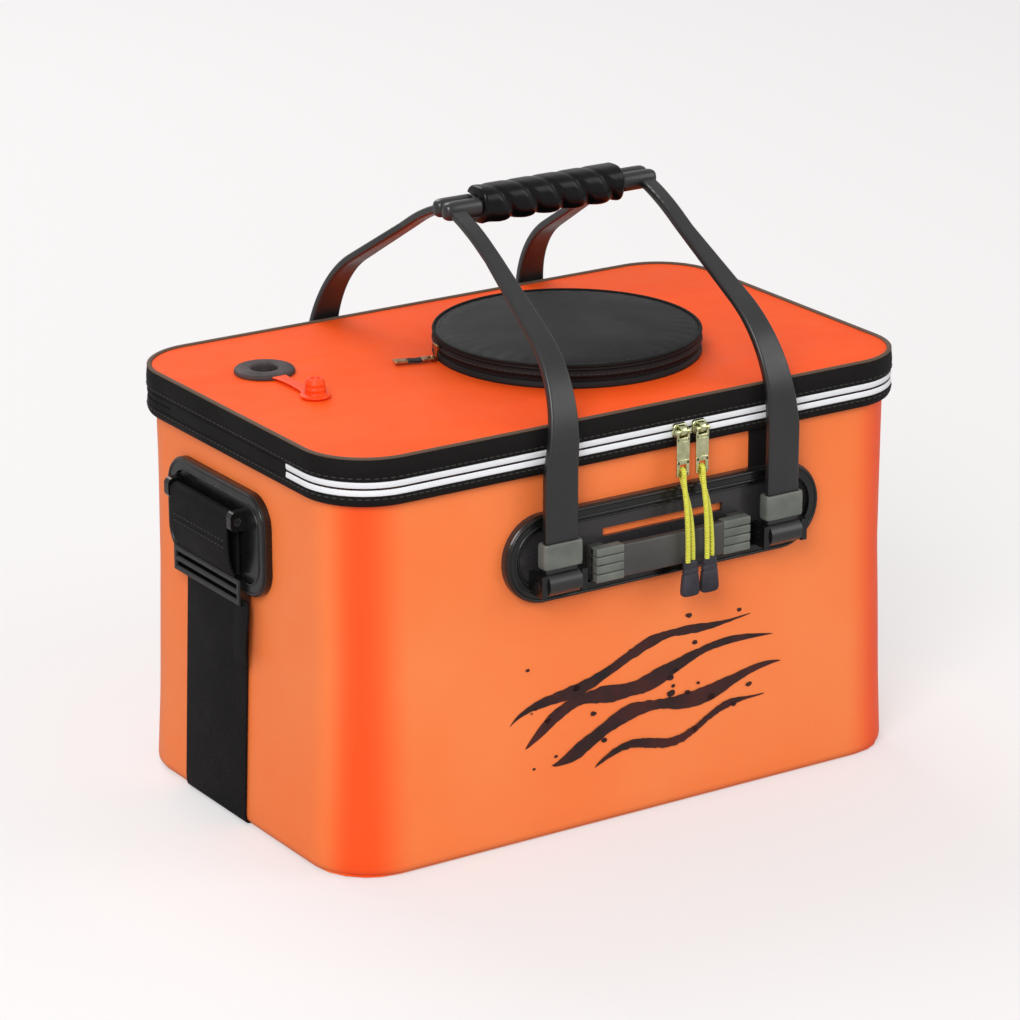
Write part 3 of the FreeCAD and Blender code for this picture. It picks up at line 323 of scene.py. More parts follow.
def stripSection(low, high, half, edge):
    return soften([(low, -half), (high, -half), (high, half), (low, half)], edge, 2)


def partOf(verts, faces, maps, finish=0):
    return {"verts": verts, "faces": faces, "maps": maps, "finish": finish}


def meshPart(verts, faces, a, b):
    # The map is laid flat along the axes a and b
    maps = [[(verts[i][a], verts[i][b]) for i in face] for face in faces]
    return partOf(verts, faces, maps)


def sweep(points, normals, lift, profile, closed=True, shut=True, finish=0):
    rows, cols = len(points), len(profile)
    lifts = lift if isinstance(lift, list) else [lift] * rows
    verts = [p + n * out + w * high for p, n, w in zip(points, normals, lifts) for out, high in profile]
    along, across = [0.0], [0.0]
    for i in range(rows):
        along.append(along[-1] + (verts[(i + 1) % rows * cols] - verts[i * cols]).length)
    for j in range(cols):
        step = Vector(profile[(j + 1) % cols]) - Vector(profile[j])
        across.append(across[-1] + step.length)
    faces, maps = [], []
    for i in range(rows if closed else rows - 1):
        a, b = i * cols, (i + 1) % rows * cols
        for j in range(cols if shut else cols - 1):
            k = (j + 1) % cols
            faces.append((a + j, b + j, b + k, a + k))
            maps.append([(along[i], across[j]), (along[i + 1], across[j]),
                         (along[i + 1], across[j + 1]), (along[i], across[j + 1])])
    if not closed and shut:
        for first in (0, (rows - 1) * cols):
            faces.append(tuple(range(first, first + cols)))
            maps.append([(out, high) for out, high in profile])
    return partOf(verts, faces, maps, finish)


def turnedPart(x, y, profile, segments=96, shut=True):
    normals = [spoke(a) for a in anglesOf(segments)]
    return sweep([Vector((x, y, 0))] * segments, normals, up, profile, shut=shut)


def bmeshPart(bm, finish=0):
    # The map is laid along the two axes that each face lies closest to
    bm.normal_update()
    bm.verts.index_update()
    faces = [tuple(v.index for v in face.verts) for face in bm.faces]
    verts = [v.co.copy() for v in bm.verts]
    maps = []
    for face in bm.faces:
        n = face.normal
        axis = max(range(3), key=lambda k: abs(n[k]))
        keep = [k for k in range(3) if k != axis]
        maps.append([(v.co[keep[0]], v.co[keep[1]]) for v in face.verts])
    bm.free()
    return partOf(verts, faces, maps, finish)


def blockPart(centre, half, edge, finish=0):
    # A block with rounded edges
    bm = bmesh.new()
    bmesh.ops.create_cube(bm, size=2)
    for vert in bm.verts:
        vert.co = Vector([c * h for c, h in zip(vert.co, half)])
    bmesh.ops.bevel(bm, geom=bm.edges[:], offset=edge, segments=3, profile=0.5, affect="EDGES")
    bmesh.ops.translate(bm, verts=bm.verts, vec=centre)
    return bmeshPart(bm, finish)


def rodPart(start, end, radius, finish=0):
    sides, edge = 14, 0.25
    axis = (end - start).normalized()
    side = axis.orthogonal().normalized()
    other = axis.cross(side)
    long = (end - start).length
    profile = [(0, 0), (radius - edge, 0), (radius, edge), (radius, long - edge), (radius - edge, long),
               (0, long)]
    normals = [side * math.cos(a) + other * math.sin(a) for a in anglesOf(sides)]
    return sweep([start] * sides, normals, axis, profile, shut=False, finish=finish)


def loftPart(rings):
    # A closed skin through rings of points, shut at both ends
    rows, cols = len(rings), len(rings[0])
    verts = [spot for ring in rings for spot in ring]
    faces = []
    for i in range(rows - 1):
        for k in range(cols):
            n = (k + 1) % cols
            faces.append((i * cols + k, (i + 1) * cols + k, (i + 1) * cols + n, i * cols + n))
    faces += [tuple(range(first, first + cols)) for first in (0, (rows - 1) * cols)]
    return meshPart(verts, faces, 0, 2)


def squared(value, power):
    # A power that keeps the sign
    return math.copysign(abs(value) ** power, value)


def squaredRing(centre, across, upward, power, count):
    # An oval drawn out toward a rectangle, with its two half widths as vectors
    return [centre + across * squared(math.cos(a), power) + upward * squared(math.sin(a), power)
            for a in anglesOf(count)]


def roundSection(out, high, radius):
    return [(out + radius * math.cos(a), high + radius * math.sin(a)) for a in anglesOf(10)]


def roundedLoop(halfA, halfB, corner, steps, a, b):
    # Points and outward normals of a rounded rectangle along the directions a and b
    points, normals = [], []
    for signA, signB, begin in ((1, -1, 270), (1, 1, 0), (-1, 1, 90), (-1, -1, 180)):
        for i in range(steps + 1):
            angle = math.radians(begin + 90 * i / steps)
            normal = a * math.cos(angle) + b * math.sin(angle)
            points.append(a * signA * (halfA - corner) + b * signB * (halfB - corner) + normal * corner)
            normals.append(normal)
    return points, normals


def teethPart(spots, levels, reach, long, tip, shift=0, finish=0):
    # Zip teeth: a small tapered block at each spot
    verts, faces = [], []
    for centre, normal, tangent in spots:
        first = len(verts)
        for z, scale in zip(levels, (1.0, tip)):
            for out in reach:
                for side in (-0.5, 0.5):
                    verts.append(centre + tangent * (shift + side * long * scale) + normal * out + up * z)
        for face in ((0, 1, 3, 2), (4, 6, 7, 5), (0, 4, 5, 1), (2, 3, 7, 6), (0, 2, 6, 4), (1, 5, 7, 3)):
            faces.append(tuple(first + i for i in face))
    maps = [[(0, 0), (1, 0), (1, 1), (0, 1)]] * len(faces)
    return partOf(verts, faces, maps, finish)


def makePiece(name, parts, materials, body=None, stands=(), sharp=38, bend=None):
    mesh = bpy.data.meshes.new(name)
    verts, faces, maps, which = [], [], [], []
    for part in parts:
        first = len(verts)
        verts += [v * mm for v in part["verts"]]
        faces += [tuple(first + i for i in face) for face in part["faces"]]
        maps += part["maps"]
        which += part.get("finishes") or [part["finish"]] * len(part["faces"])
    mesh.from_pydata(verts, [], faces)
    layer = mesh.uv_layers.new(name="UVMap")
    for face, spots, finish in zip(mesh.polygons, maps, which):
        face.material_index = finish
        for loop, spot in zip(face.loop_indices, spots):
            layer.data[loop].uv = (spot[0] * mm, spot[1] * mm)
    for material in materials:
        mesh.materials.append(finishes[material])
    bm = bmesh.new()
    bm.from_mesh(mesh)
    bmesh.ops.remove_doubles(bm, verts=bm.verts, dist=1e-6)
    bmesh.ops.dissolve_degenerate(bm, dist=1e-7, edges=bm.edges)
    bmesh.ops.recalc_face_normals(bm, faces=bm.faces)
    bm.to_mesh(mesh)
    bm.free()
    mesh.shade_smooth()
    mesh.set_sharp_from_angle(angle=math.radians(sharp))
    made = putIn(name, mesh)
    if bend:
        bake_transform(made)
    else:
        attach(made, body)
    if stands:
        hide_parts(*stands)
    return made


def dress(nodeNames, material, edge=None):
    for name in nodeNames:
        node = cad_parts[name]
        node.data.materials.clear()
        node.data.materials.append(finishes[material])
        if edge:
            bevel = node.modifiers.new("edge", "BEVEL")
            bevel.width = edge * mm
            bevel.segments = 3
            bevel.limit_method = "ANGLE"
            bevel.angle_limit = math.radians(40)


# The rounded outline of the mouth, from the middle of the left side by the front
mouth = {"halfX": 195, "halfY": 120, "corner": 36, "step": 6, "cornerSteps": 14, "hingeHalf": 66}


def outline(gap=0, step=None):
    halfX, halfY, corner, steps = mouth["halfX"], mouth["halfY"], mouth["corner"], mouth["cornerSteps"]
    cx, cy = halfX - corner, halfY - corner
    runs = (((-halfX, -gap), (-halfX, -cy)), ((-cx, -halfY), (cx, -halfY)), ((halfX, -cy), (halfX, cy)),
            ((cx, halfY), (-cx, halfY)), ((-halfX, cy), (-halfX, gap)))
    points, normals = [], []
    for i, (start, end) in enumerate(runs):
        start, end = Vector((*start, 0)), Vector((*end, 0))
        normal = (end - start).normalized().cross(up)
        count = max(1, round((end - start).length / (step or mouth["step"])))
        points += [start.lerp(end, k / count) for k in range(count)]
        normals += [normal] * count
        if i < 4:  # a corner follows
            begin = math.atan2(normal.y, normal.x)
            turn = [spoke(begin + math.pi / 2 * k / steps) for k in range(steps)]
            points += [end + (n - normal) * corner for n in turn]
            normals += turn
    if gap:
        points.append(Vector((-halfX, gap, 0)))
        normals.append(-alongX)
    return points, normals


def ringPart(profile, gap=0):
    points, normals = outline(gap)
    return sweep(points, normals, up, profile, closed=not gap)


def alongOutline(pitch, gap=0):
    # Spots at an even pitch along the mouth, for stitches and teeth
    points, normals = outline(gap, 2)
    count = len(points)
    spots, carry = [], 0.0
    for i in range(count - 1 if gap else count):
        a, b = points[i], points[(i + 1) % count]
        long = (b - a).length
        while carry < long:
            t = carry / long
            normal = normals[i].lerp(normals[(i + 1) % count], t).normalized()
            spots.append((a.lerp(b, t), normal, (b - a).normalized()))
            carry += pitch
        carry -= long
    return spots


def stitchPart(spots, out, z, long, thick, finish):
    # A row of short thread stitches, each a small six-sided bead that dips at its ends
    verts, faces, maps = [], [], []
    for centre, normal, tangent in spots:
        first = len(verts)
        for along, scale in ((-0.5, 0.35), (-0.3, 1), (0.3, 1), (0.5, 0.35)):
            middle = centre + tangent * long * along + normal * (out + thick * (scale - 1) * 0.4) + up * z
            for k in range(6):
                angle = math.pi * k / 3
                verts.append(middle + (normal * math.cos(angle) + up * math.sin(angle)) * thick * 0.5 * scale)
        for ring in range(3):
            a, b = first + ring * 6, first + ring * 6 + 6
            for k in range(6):
                faces.append((a + k, a + (k + 1) % 6, b + (k + 1) % 6, b + k))
                maps.append([(k, ring), (k + 1, ring), (k + 1, ring + 1), (k, ring + 1)])
        for start in (first, first + 18):
            faces.append(tuple(range(start, start + 6)))
            maps.append([(k, 0) for k in range(6)])
    return partOf(verts, faces, maps, finish)


# Bucket wall and floor
wallLook = {"top": 231, "thick": 3, "flare": 4.5, "flareTop": 130, "flareTall": 126, "foot": 6, "low": 0.5,
            "wave": 0.45, "waveSize": 90, "rowFrom": 16, "rowStep": 9, "floor": 4.2,
            "footCurve": [(4.8, 0.5), (1.6, 1.6), (0.3, 3.4)], "calmFoot": (4, 40), "calmRim": (8, 30),
            "innerRows": (230, 190, 150, 130, 110, 80, 50, 25, 4.2)}


def flareAt(z):
    return wallLook["flare"] * max(0.0, min(1.0, (wallLook["flareTop"] - z) / wallLook["flareTall"]))


def makeWall():
    look = wallLook
    flare, top, thick = look["flare"], look["top"], look["thick"]
    (footFrom, footRun), (rimFrom, rimRun) = look["calmFoot"], look["calmRim"]
    outer = [(-2, look["low"])] + [(flare - inward, z) for inward, z in look["footCurve"]]
    outer.append((flare, look["foot"]))
    outer += [(flareAt(z), z) for z in range(look["rowFrom"], top - 5, look["rowStep"])]
    outer += [(0, top - 1), (-0.6, top), (0.6 - thick, top)]
    inner = [(flareAt(z) - thick, z) for z in look["innerRows"]]
    part = ringPart(outer + inner + [(-2, look["floor"])])
    for i, spot in enumerate(part["verts"]):
        # Slack of the sheet, none at the rim or along the foot
        calm = min(1.0, max(0.0, (spot.z - footFrom) / footRun), max(0.0, (top - rimFrom - spot.z) / rimRun))
        sway = noise.noise(Vector((spot.x, spot.y * 0.9, spot.z)) / look["waveSize"])
        outward = Vector((spot.x / mouth["halfX"], spot.y / mouth["halfY"], 0))
        part["verts"][i] = spot + outward * (look["wave"] * (sway - 0.45) * calm)
    makePiece("bucketWall", [part], ["evaSidePaintedSheen"], "bucket", ["body_wall"], sharp=50)


floorLook = {"half": (197.0, 122.0), "corner": 35, "top": 4.2, "low": 0.5, "groove": 35.4, "grooveY": 22,
             "depth": 2.3, "columns": 28, "rises": (0, 2, 6, 14, 24, 35, 60), "rows": [-36, 8, 36],
             "weld": [(-1.2, 3.9), (1.6, 3.9), (1.2, 6.6), (-0.2, 5.6)], "weldEdge": 1.2}


def makeFloor():
    look = floorLook
    (halfX, halfY), corner, columns = look["half"], look["corner"], look["columns"]
    rows = list(look["rows"])
    for rise in look["rises"]:
        rows += [rise - halfY, halfY - rise]
    for side in (-1, 1):
        rows += [look["grooveY"] + side * look["groove"] + step for step in (-0.3, 0.3)]
    rings = []
    for y in sorted(rows):
        past = max(0.0, abs(y) - (halfY - corner))
        reach = halfX - corner + math.sqrt(max(0.0, corner ** 2 - past ** 2))
        low = look["depth"] if abs(y - look["grooveY"]) < look["groove"] else look["low"]
        spread = [reach * (2 * i / columns - 1) for i in range(columns + 1)]
        rings.append([Vector((x, y, low)) for x in spread])
        rings[-1] += [Vector((x, y, look["top"])) for x in reversed(spread)]
    weld = ringPart(soften(look["weld"], look["weldEdge"]))
    makePiece("bucketFloor", [loftPart(rings), weld], ["evaSidePaintedSheen"], "bucket", ["base_panel"],
              sharp=40)


makeWall()
makeFloor()
print("bucket walls done")


# Bands and zip round the mouth
bandLook = {"rimLow": 222.5, "rimTop": 229, "out": 5, "bulge": 0.5, "lidLow": 237, "lidTop": 250,
            "rimBulgeZ": 225.6, "rimStitchZ": 227.3, "lidBulgeZ": 243.5, "lidStitchZ": 239.4,
            "pipingPaintedHighlight": [(2, 249.9), (4.9, 249.9), (5, 250.6), (4.3, 251.2), (2.8, 251.2), (2.1, 250.6)],
            "stitchPitch": 4.2, "stitchLong": 3.2, "stitchThick": 0.75,
            "tabX": (-53.5, 87.5), "tabWide": 18, "tabLow": 199, "tabThick": 1.6, "tabRows": 8}


def tabPart(x, side):
    look = bandLook
    low, count = look["tabLow"], look["tabRows"]
    levels = [low + (look["rimLow"] + 3 - low) * i / count for i in range(count + 1)]
    points = [Vector((x, mouth["halfY"] * side, z)) for z in levels]
    section = stripSection(0.05, look["tabThick"], look["tabWide"] / 2, 0.5)
    return sweep(points, [alongY * side] * (count + 1), alongX, section, closed=False)


def makeBands():
    look = bandLook
    out, full = look["out"], look["out"] + look["bulge"]
    rows = alongOutline(look["stitchPitch"])

    def seam(share, z):
        return stitchPart(rows, out + look["bulge"] * share, z, look["stitchLong"], look["stitchThick"], 1)

    rim = ringPart(soften([(0, look["rimLow"]), (out - 1.2, look["rimLow"] - 0.2), (full, look["rimBulgeZ"]),
                           (out, look["rimTop"]), (0, look["rimTop"])], 1.4, 4))
    tabs = [tabPart(x, side) for x in look["tabX"] for side in (-1, 1)]
    makePiece("rimBinding", [rim, seam(0.6, look["rimStitchZ"])] + tabs, ["bandCloth", "thread"], "bucket",
              ["rim_band"])
    lid = ringPart(soften([(3, look["lidLow"]), (out, look["lidLow"]), (full, look["lidBulgeZ"]),
                           (out - 0.2, look["lidTop"]), (3, look["lidTop"])], 1.2, 4))
    makePiece("lidBinding", [lid, seam(0.75, look["lidStitchZ"])], ["bandCloth", "thread"], "lid",
              ["lid_band"])
    # Thin bead along the lid's edge, coloured tan as a painted highlight of that edge
    makePiece("lidPipingPaintedHighlight", [ringPart(soften(look["pipingPaintedHighlight"], 0.6, 3))], ["pipingPaintedHighlight"], "lid",
              ["lid_piping"])


# The tape section is given as its reach from the mouth and its distance from the seam
zipLook = {"coveredX": -159, "seam": 233, "pitch": 2.0, "toothLong": 1.1, "toothReach": (3.3, 4.3),
           "toothTip": 0.75, "toothRoot": 2.2, "toothEnd": 0.2,
           "tape": [(3, 4), (5, 4), (5.2, 3.1), (5, 1.35), (4.7, 0.55), (4.45, 0.65), (4.4, 2), (3, 2)],
           "tapeEdge": 0.3, "low": 229, "high": 237, "stripX": -199, "stripBow": 0.35, "stripHalf": 1,
           "stripEdge": 0.6, "stripRows": 16, "bendLow": (-0.2, 0, 0.2312), "bendHigh": (-0.2, 0, 0.2348)}


def darkenEnd(part):
    # The zip tape is coloured black round the rear-left corner by the hinge
    for face in part["faces"]:
        middle = sum((part["verts"][k] for k in face), Vector()) / len(face)
        part.setdefault("finishes", []).append(1 if middle.y > 0 and middle.x < zipLook["coveredX"] else 0)
    return part


def makeZip():
    look = zipLook
    gap, seam = mouth["hingeHalf"], look["seam"]
    for word, body, sign in (("Lower", "bucket", -1), ("Upper", "lid", 1)):
        section = soften([(out, seam + sign * rise) for out, rise in look["tape"]], look["tapeEdge"], 2)
        makePiece("zipTape" + word, [darkenEnd(ringPart(section, gap))], ["zipTape", "bandCloth"], body,
                  ["zip_tape_" + word.lower()])
    rows = alongOutline(look["pitch"], gap + 1)
    root, end = look["toothRoot"], look["toothEnd"]
    for word, body, levels, shift in (("Lower", "bucket", (seam - root, seam - end), 0),
                                      ("Upper", "lid", (seam + end, seam + root), look["pitch"] / 2)):
        teeth = teethPart(rows, levels, look["toothReach"], look["toothLong"], look["toothTip"], shift)
        makePiece("zipTeeth" + word, [teeth], ["zipTeeth"], body, ["zip_coil_" + word.lower()])
    count, thick = look["stripRows"], look["stripHalf"]
    points = [Vector((look["stripX"] - look["stripBow"] * math.sin(math.pi * i / count), 0,
                      look["low"] + (look["high"] - look["low"]) * i / count)) for i in range(count + 1)]
    section = stripSection(-thick, thick, gap, look["stripEdge"])
    flex = sweep(points, [-alongX] * (count + 1), alongY, section, closed=False)
    makePiece("lidHingeStrip", [flex], ["bandCloth"],
              stands=["body_hinge_leaf", "lid_hinge_leaf"],
              bend={"bodies": ("bucket", "lid"), "start": look["bendLow"], "end": look["bendHigh"]})


makeBands()
makeZip()
print("bands and zip done")


# Lid sheet with its two holes
lidLook = {"out": 3, "top": 250, "low": 245, "edge": 0.7, "hatch": (29, -5, 70), "air": (-145, 52, 9.9)}


def makeLid():
    look = lidLook
    curve = bpy.data.curves.new("lidOutline", "CURVE")
    curve.dimensions = "2D"
    curve.fill_mode = "BOTH"
    points, normals = outline()
    loops = [[p + n * (look["out"] - look["edge"]) for p, n in zip(points, normals)]]
    for x, y, radius in (look["hatch"], look["air"]):
        loops.append([Vector((x, y, 0)) + spoke(a) * (radius + look["edge"]) for a in anglesOf(96)])
    for loop in loops:
        spline = curve.splines.new("POLY")
        spline.points.add(len(loop) - 1)
        for point, spot in zip(spline.points, loop):
            point.co = (spot.x * mm, spot.y * mm, 0, 1)
        spline.use_cyclic_u = True
    curve.bevel_depth = look["edge"] * mm
    curve.bevel_resolution = 3
    curve.extrude = ((look["top"] - look["low"]) / 2 - look["edge"]) * mm
    holder = putIn("lidOutline", curve)
    bpy.context.view_layer.update()
    flat = holder.evaluated_get(bpy.context.evaluated_depsgraph_get())
    mesh = bpy.data.meshes.new_from_object(flat)
    bpy.data.objects.remove(holder)
    verts = [v.co / mm + up * (look["top"] + look["low"]) / 2 for v in mesh.vertices]
    sheet = meshPart(verts, [tuple(p.vertices) for p in mesh.polygons], 0, 1)
    bpy.data.meshes.remove(mesh)
    makePiece("lidSheet", [sheet], ["evaLid"], "lid", ["lid_panel"], sharp=30)


makeLid()
print("lid sheet done")


# Round hatch: collar, zip, wall and padded cover
hatchLook = {"x": 29, "y": -5, "r": 80, "collarLow": 250, "zipLow": 254, "seam": 255.6, "wallLow": 257.2,
             "coverLow": 260.6, "crown": 2.4, "pucker": 0.22, "puckers": 46,
             "teeth": 250, "toothReach": (77.6, 78.7), "toothLong": 1.1, "toothTip": 0.7, "segments": 184,
             "reaches": (0.965, 0.94, 0.9, 0.84, 0.76, 0.66, 0.54, 0.42, 0.3, 0.2, 0.1, 0.0), "seamAt": 0.955,
             "seamDip": 0.9, "seamWide": 0.018, "puckerAt": 0.9, "puckerWide": 0.06, "sag": 0.45,
             "sagSize": 34, "leafTurn": 17,
             "bendLow": (0.11, -0.005, 0.2546), "bendHigh": (0.11, -0.005, 0.2566)}


def hatchSpots(count, shift=0, radius=0):
    # Spots round the hatch, each with its outward and its forward direction
    centre = Vector((hatchLook["x"], hatchLook["y"], 0))
    spots = []
    for i in range(count):
        a = 2 * math.pi * (i + shift) / count
        spots.append((centre + spoke(a) * radius, spoke(a), Vector((-math.sin(a), math.cos(a), 0))))
    return spots


def hatchStitches(radius, z, pitch, thick, finish):
    count = int(2 * math.pi * radius / pitch)
    return stitchPart(hatchSpots(count, radius=radius), 0, z, pitch * 0.75, thick, finish)


def hatchTeeth(low, high, shift):
    look = hatchLook
    return teethPart(hatchSpots(look["teeth"], shift), (low, high), look["toothReach"], look["toothLong"],
                     look["toothTip"], finish=1)


def makeHatch():
    look = hatchLook
    x, y, r, low, zipLow = look["x"], look["y"], look["r"], look["collarLow"], look["zipLow"]
    seam, wallLow, coverLow = look["seam"], look["wallLow"], look["coverLow"]
    sewn, zipped = (["hatchCloth", "thread"], "hatch_black"), (["bandCloth", "zipTeeth"], "hatch_zip")
    rings = (("hatchCollar", "hatch_collar", "lid", sewn, hatchStitches(r - 5.8, zipLow, 3.6, 0.6, 1), 0.9, 3,
              [(-9, low), (0.1, low), (0.2, low + 1.4), (-0.6, zipLow), (-9, zipLow)]),
             ("hatchZipLower", "hatch_zip_lower", "lid", zipped, hatchTeeth(zipLow + 0.3, seam - 0.15, 0),
              0.25, 2, [(-4, zipLow), (-1, zipLow), (-1.1, seam - 0.45), (-4, seam - 0.6)]),
             ("hatchZipUpper", "hatch_zip_upper", "hatch", zipped,
              hatchTeeth(wallLow - 0.3, seam + 0.15, 0.5), 0.25, 2,
              [(-4, wallLow), (-1, wallLow), (-1.1, seam + 0.45), (-4, seam + 0.6)]),
             ("hatchWall", "hatch_wall", "hatch", sewn, hatchStitches(r + 0.15, wallLow + 1.0, 3.6, 0.55, 1),
              0.6, 3, [(-8, wallLow), (0, wallLow), (0.1, wallLow + 0.8), (-0.5, coverLow - 0.8),
                       (-0.2, coverLow), (-8, coverLow)]))
    for name, node, body, (materials, slot), trim, edge, steps, corners in rings:
        section = soften([(r + out, z) for out, z in corners], edge, steps)
        makePiece(name, [turnedPart(x, y, section, 128), trim], materials, body, [node])

    # Crowned cover, drawn down where it is sewn to its edge cord
    profile = [(0, coverLow), (r - 1.5, coverLow), (r - 0.5, coverLow + 0.6), (r - 0.9, coverLow + 2.2)]
    for reach in look["reaches"]:
        dip = look["seamDip"] * math.exp(-((reach - look["seamAt"]) / look["seamWide"]) ** 2)
        profile.append((r * reach, coverLow + 3.2 + look["crown"] * (1 - reach ** 3) - dip))
    cover = turnedPart(x, y, profile, look["segments"], shut=False)
    for spot in cover["verts"]:
        reach = Vector((spot.x - x, spot.y - y)).length / r
        if spot.z > coverLow + 2.3:
            angle = math.atan2(spot.y - y, spot.x - x)
            ring = math.exp(-((reach - look["puckerAt"]) / look["puckerWide"]) ** 2)
            drift = 3 * noise.noise(Vector((angle, 0, 0)))
            spot.z += look["pucker"] * ring * math.sin(angle * look["puckers"] + drift)
            uneven = noise.noise(Vector((spot.x, spot.y, 3)) / look["sagSize"])
            spot.z += look["sag"] * (1 - reach ** 4) * uneven
    pad = makePiece("hatchCover", [cover], ["hatchCloth"], "hatch", ["hatch_cover"])
    piped = turnedPart(x, y, roundSection(r - 0.8, coverLow + 2.7, 1.0), 160)
    makePiece("hatchEdgeCord", [piped], ["bandCloth"], "hatch")
    makePiece("hatchStitching", [hatchStitches(r * 0.945, coverLow + 3.1, 3.4, 0.6, 0)], ["thread"], "hatch")

    # Flexible hinge on the right edge
    rows = 16
    turn, foot, top = look["leafTurn"], low + 0.3, coverLow - 0.2
    normals = [spoke(math.radians(turn * (2 * i / rows - 1))) for i in range(rows + 1)]
    levels = [foot + (top - foot) * i / rows for i in range(1, rows)]
    section = soften([(r + 0.05, foot), (r + 1.1, foot)] + [(r + 1.15, z) for z in levels] + [(r + 1.1, top),
                     (r + 0.05, top)] + [(r + 0.05, z) for z in reversed(levels)], 0.15, 1)
    leaf = sweep([Vector((x, y, 0))] * (rows + 1), normals, up, section, closed=False)
    makePiece("hatchHingeStrip", [leaf], ["hatchCloth"],
              stands=["hatch_leaf_lower", "hatch_leaf_upper"],
              bend={"bodies": ("lid", "hatch"), "start": look["bendLow"], "end": look["bendHigh"]})


makeHatch()
print("hatch done")


# Air grommet and its stopper
airLook = {"x": -145, "y": 52, "plugY": -6,
           "grommet": [(7.8, 241.2), (9.8, 241.2), (9.8, 250), (17.8, 250.05), (18, 251.6), (17.2, 253),
                       (14, 253.5), (9.2, 253.4), (7.8, 252.5)],
           "stopper": [(0, 250.4), (7.6, 250.4), (8.6, 250.9), (9, 251.6), (8.8, 252.3), (8.2, 252.7),
                       (6.4, 252.75), (6.1, 253.2), (6.0, 254.6), (6.25, 255.2), (6.2, 256), (5.7, 256.6),
                       (5.6, 257.8), (5.85, 258.4), (5.7, 259.2), (5.2, 259.8), (5.0, 261), (4.4, 261.6),
                       (3.2, 261.7), (2.6, 260.2), (1.8, 258.6), (0, 258.4)],
           "tetherFrom": 1.5, "tetherTo": 34.6, "tetherZ": 251.95, "tetherHalf": 3.5, "tetherThick": 0.55,
           "tetherRows": 36, "bendLow": (-0.145, 0.018, 0.252), "bendHigh": (-0.145, 0.028, 0.252)}


def makeAirPort():
    look = airLook
    x, count, thick = look["x"], look["tetherRows"], look["tetherThick"]
    body = turnedPart(x, look["y"], soften(look["grommet"], 0.8, 3), 72)
    makePiece("airGrommet", [body], ["grommetRubber"], "lid", ["grommet"])
    stopper = turnedPart(x, look["plugY"], look["stopper"], 48, shut=False)
    makePiece("airStopper", [stopper], ["plugRubber"], "plug", ["plug_stopper"])
    points, lifts = [], []
    for i in range(count + 1):
        t = i / count
        y = look["tetherFrom"] + (look["tetherTo"] - look["tetherFrom"]) * t
        points.append(Vector((x, y, look["tetherZ"] + 0.25 * math.sin(t * math.pi))))
        lifts.append(Vector((look["tetherHalf"] + 1.2 * abs(2 * t - 1) ** 3, 0, 0)))
    section = stripSection(-thick, thick, 1, 0.25)
    strip = sweep(points, [up] * (count + 1), lifts, section, closed=False)
    makePiece("stopperTether", [strip], ["plugRubber"],
              stands=["plug_tether", "plug_anchor"],
              bend={"bodies": ("plug", "lid"), "start": look["bendLow"], "end": look["bendHigh"]})


makeAirPort()
print("air port done")


# Handle plates: glossy beads over the moulded plate, bars with ribbed ends, keepers
plateLook = {"x": 17, "z": 172.5, "half": 109.5, "tall": 26.5, "face": 125.5,
             "beads": [(1.6, -0.4, 1.1), (6.4, -0.2, 0.9), (9.6, -2.9, 0.7)]}  # inward, from the face, radius


def mirrored(part, flip):
    # The rear side is the front side turned half round
    if flip < 0:
        part["verts"] = [Vector((2 * plateLook["x"] - v.x, -v.y, v.z)) for v in part["verts"]]
    return part


def beadPart(shrink, face, radius):
    look = plateLook
    tall = look["tall"] - shrink
    points, normals = roundedLoop(look["half"] - shrink, tall, tall, 10, alongX, up)
    centre = Vector((look["x"], 0, look["z"]))
    return sweep([p + centre for p in points], normals, ahead, roundSection(0, face, radius))


barLook = {"half": 54, "foot": 10, "low": 154, "high": 175, "floor": 122.5, "out": 133.5, "thick": 5.5,
           "bow": 1.5, "block": 19, "ribs": 4, "proud": 0.8, "ribGap": 0.2, "rows": 24, "tuck": 7,
           "deepHalf": 2.4, "crest": 2.7, "trim": 0.6, "round": 1.4, "ribHalf": 3.0, "ribAt": 3.2,
           "footTuck": 3}


def barParts():
    look, x = barLook, plateLook["x"]
    middle, tall = (look["low"] + look["high"]) / 2, look["high"] - look["low"]
    half, rise, count = tall / 2, tall / look["ribs"], look["rows"]
    inner, span = look["out"] - look["thick"], look["half"] - look["tuck"]
    points = []
    for i in range(count + 1):
        t = 2 * i / count - 1
        out = inner + look["thick"] / 2 + look["bow"] * (1 - t * t)
        points.append(Vector((x + span * t, -out, middle)))
    deep, side = look["deepHalf"], half - look["trim"]
    section = soften([(-deep, -side), (deep, -side), (look["crest"], 0), (deep, side), (-deep, side)],
                     look["round"], 4)
    parts = [sweep(points, [ahead] * (count + 1), up, section, closed=False)]
    ribHalf = (look["block"] / 2, look["ribHalf"] + look["proud"] / 2, rise / 2 - look["ribGap"])
    footEnd = inner + look["footTuck"]
    footHalf = (look["foot"] / 2, (footEnd - look["floor"]) / 2, half - look["trim"] / 2)
    for side in (-1, 1):
        foot = x + side * (look["half"] - look["foot"] / 2)
        parts.append(blockPart(Vector((foot, -(look["floor"] + footEnd) / 2, middle)), footHalf, 1.0))
        spot = x + side * (look["half"] - look["block"] / 2)
        for k in range(look["ribs"]):
            centre = Vector((spot, -(inner + look["ribAt"]), look["low"] + (k + 0.5) * rise))
            parts.append(blockPart(centre, ribHalf, 0.8, finish=1))
    return parts


keeperLook = {"halfX": 13, "halfY": 4.5, "corner": 2.2, "low": 169.2, "high": 184.2, "wall": 2, "y": 132,
              "arms": (-60.5, 94.5)}


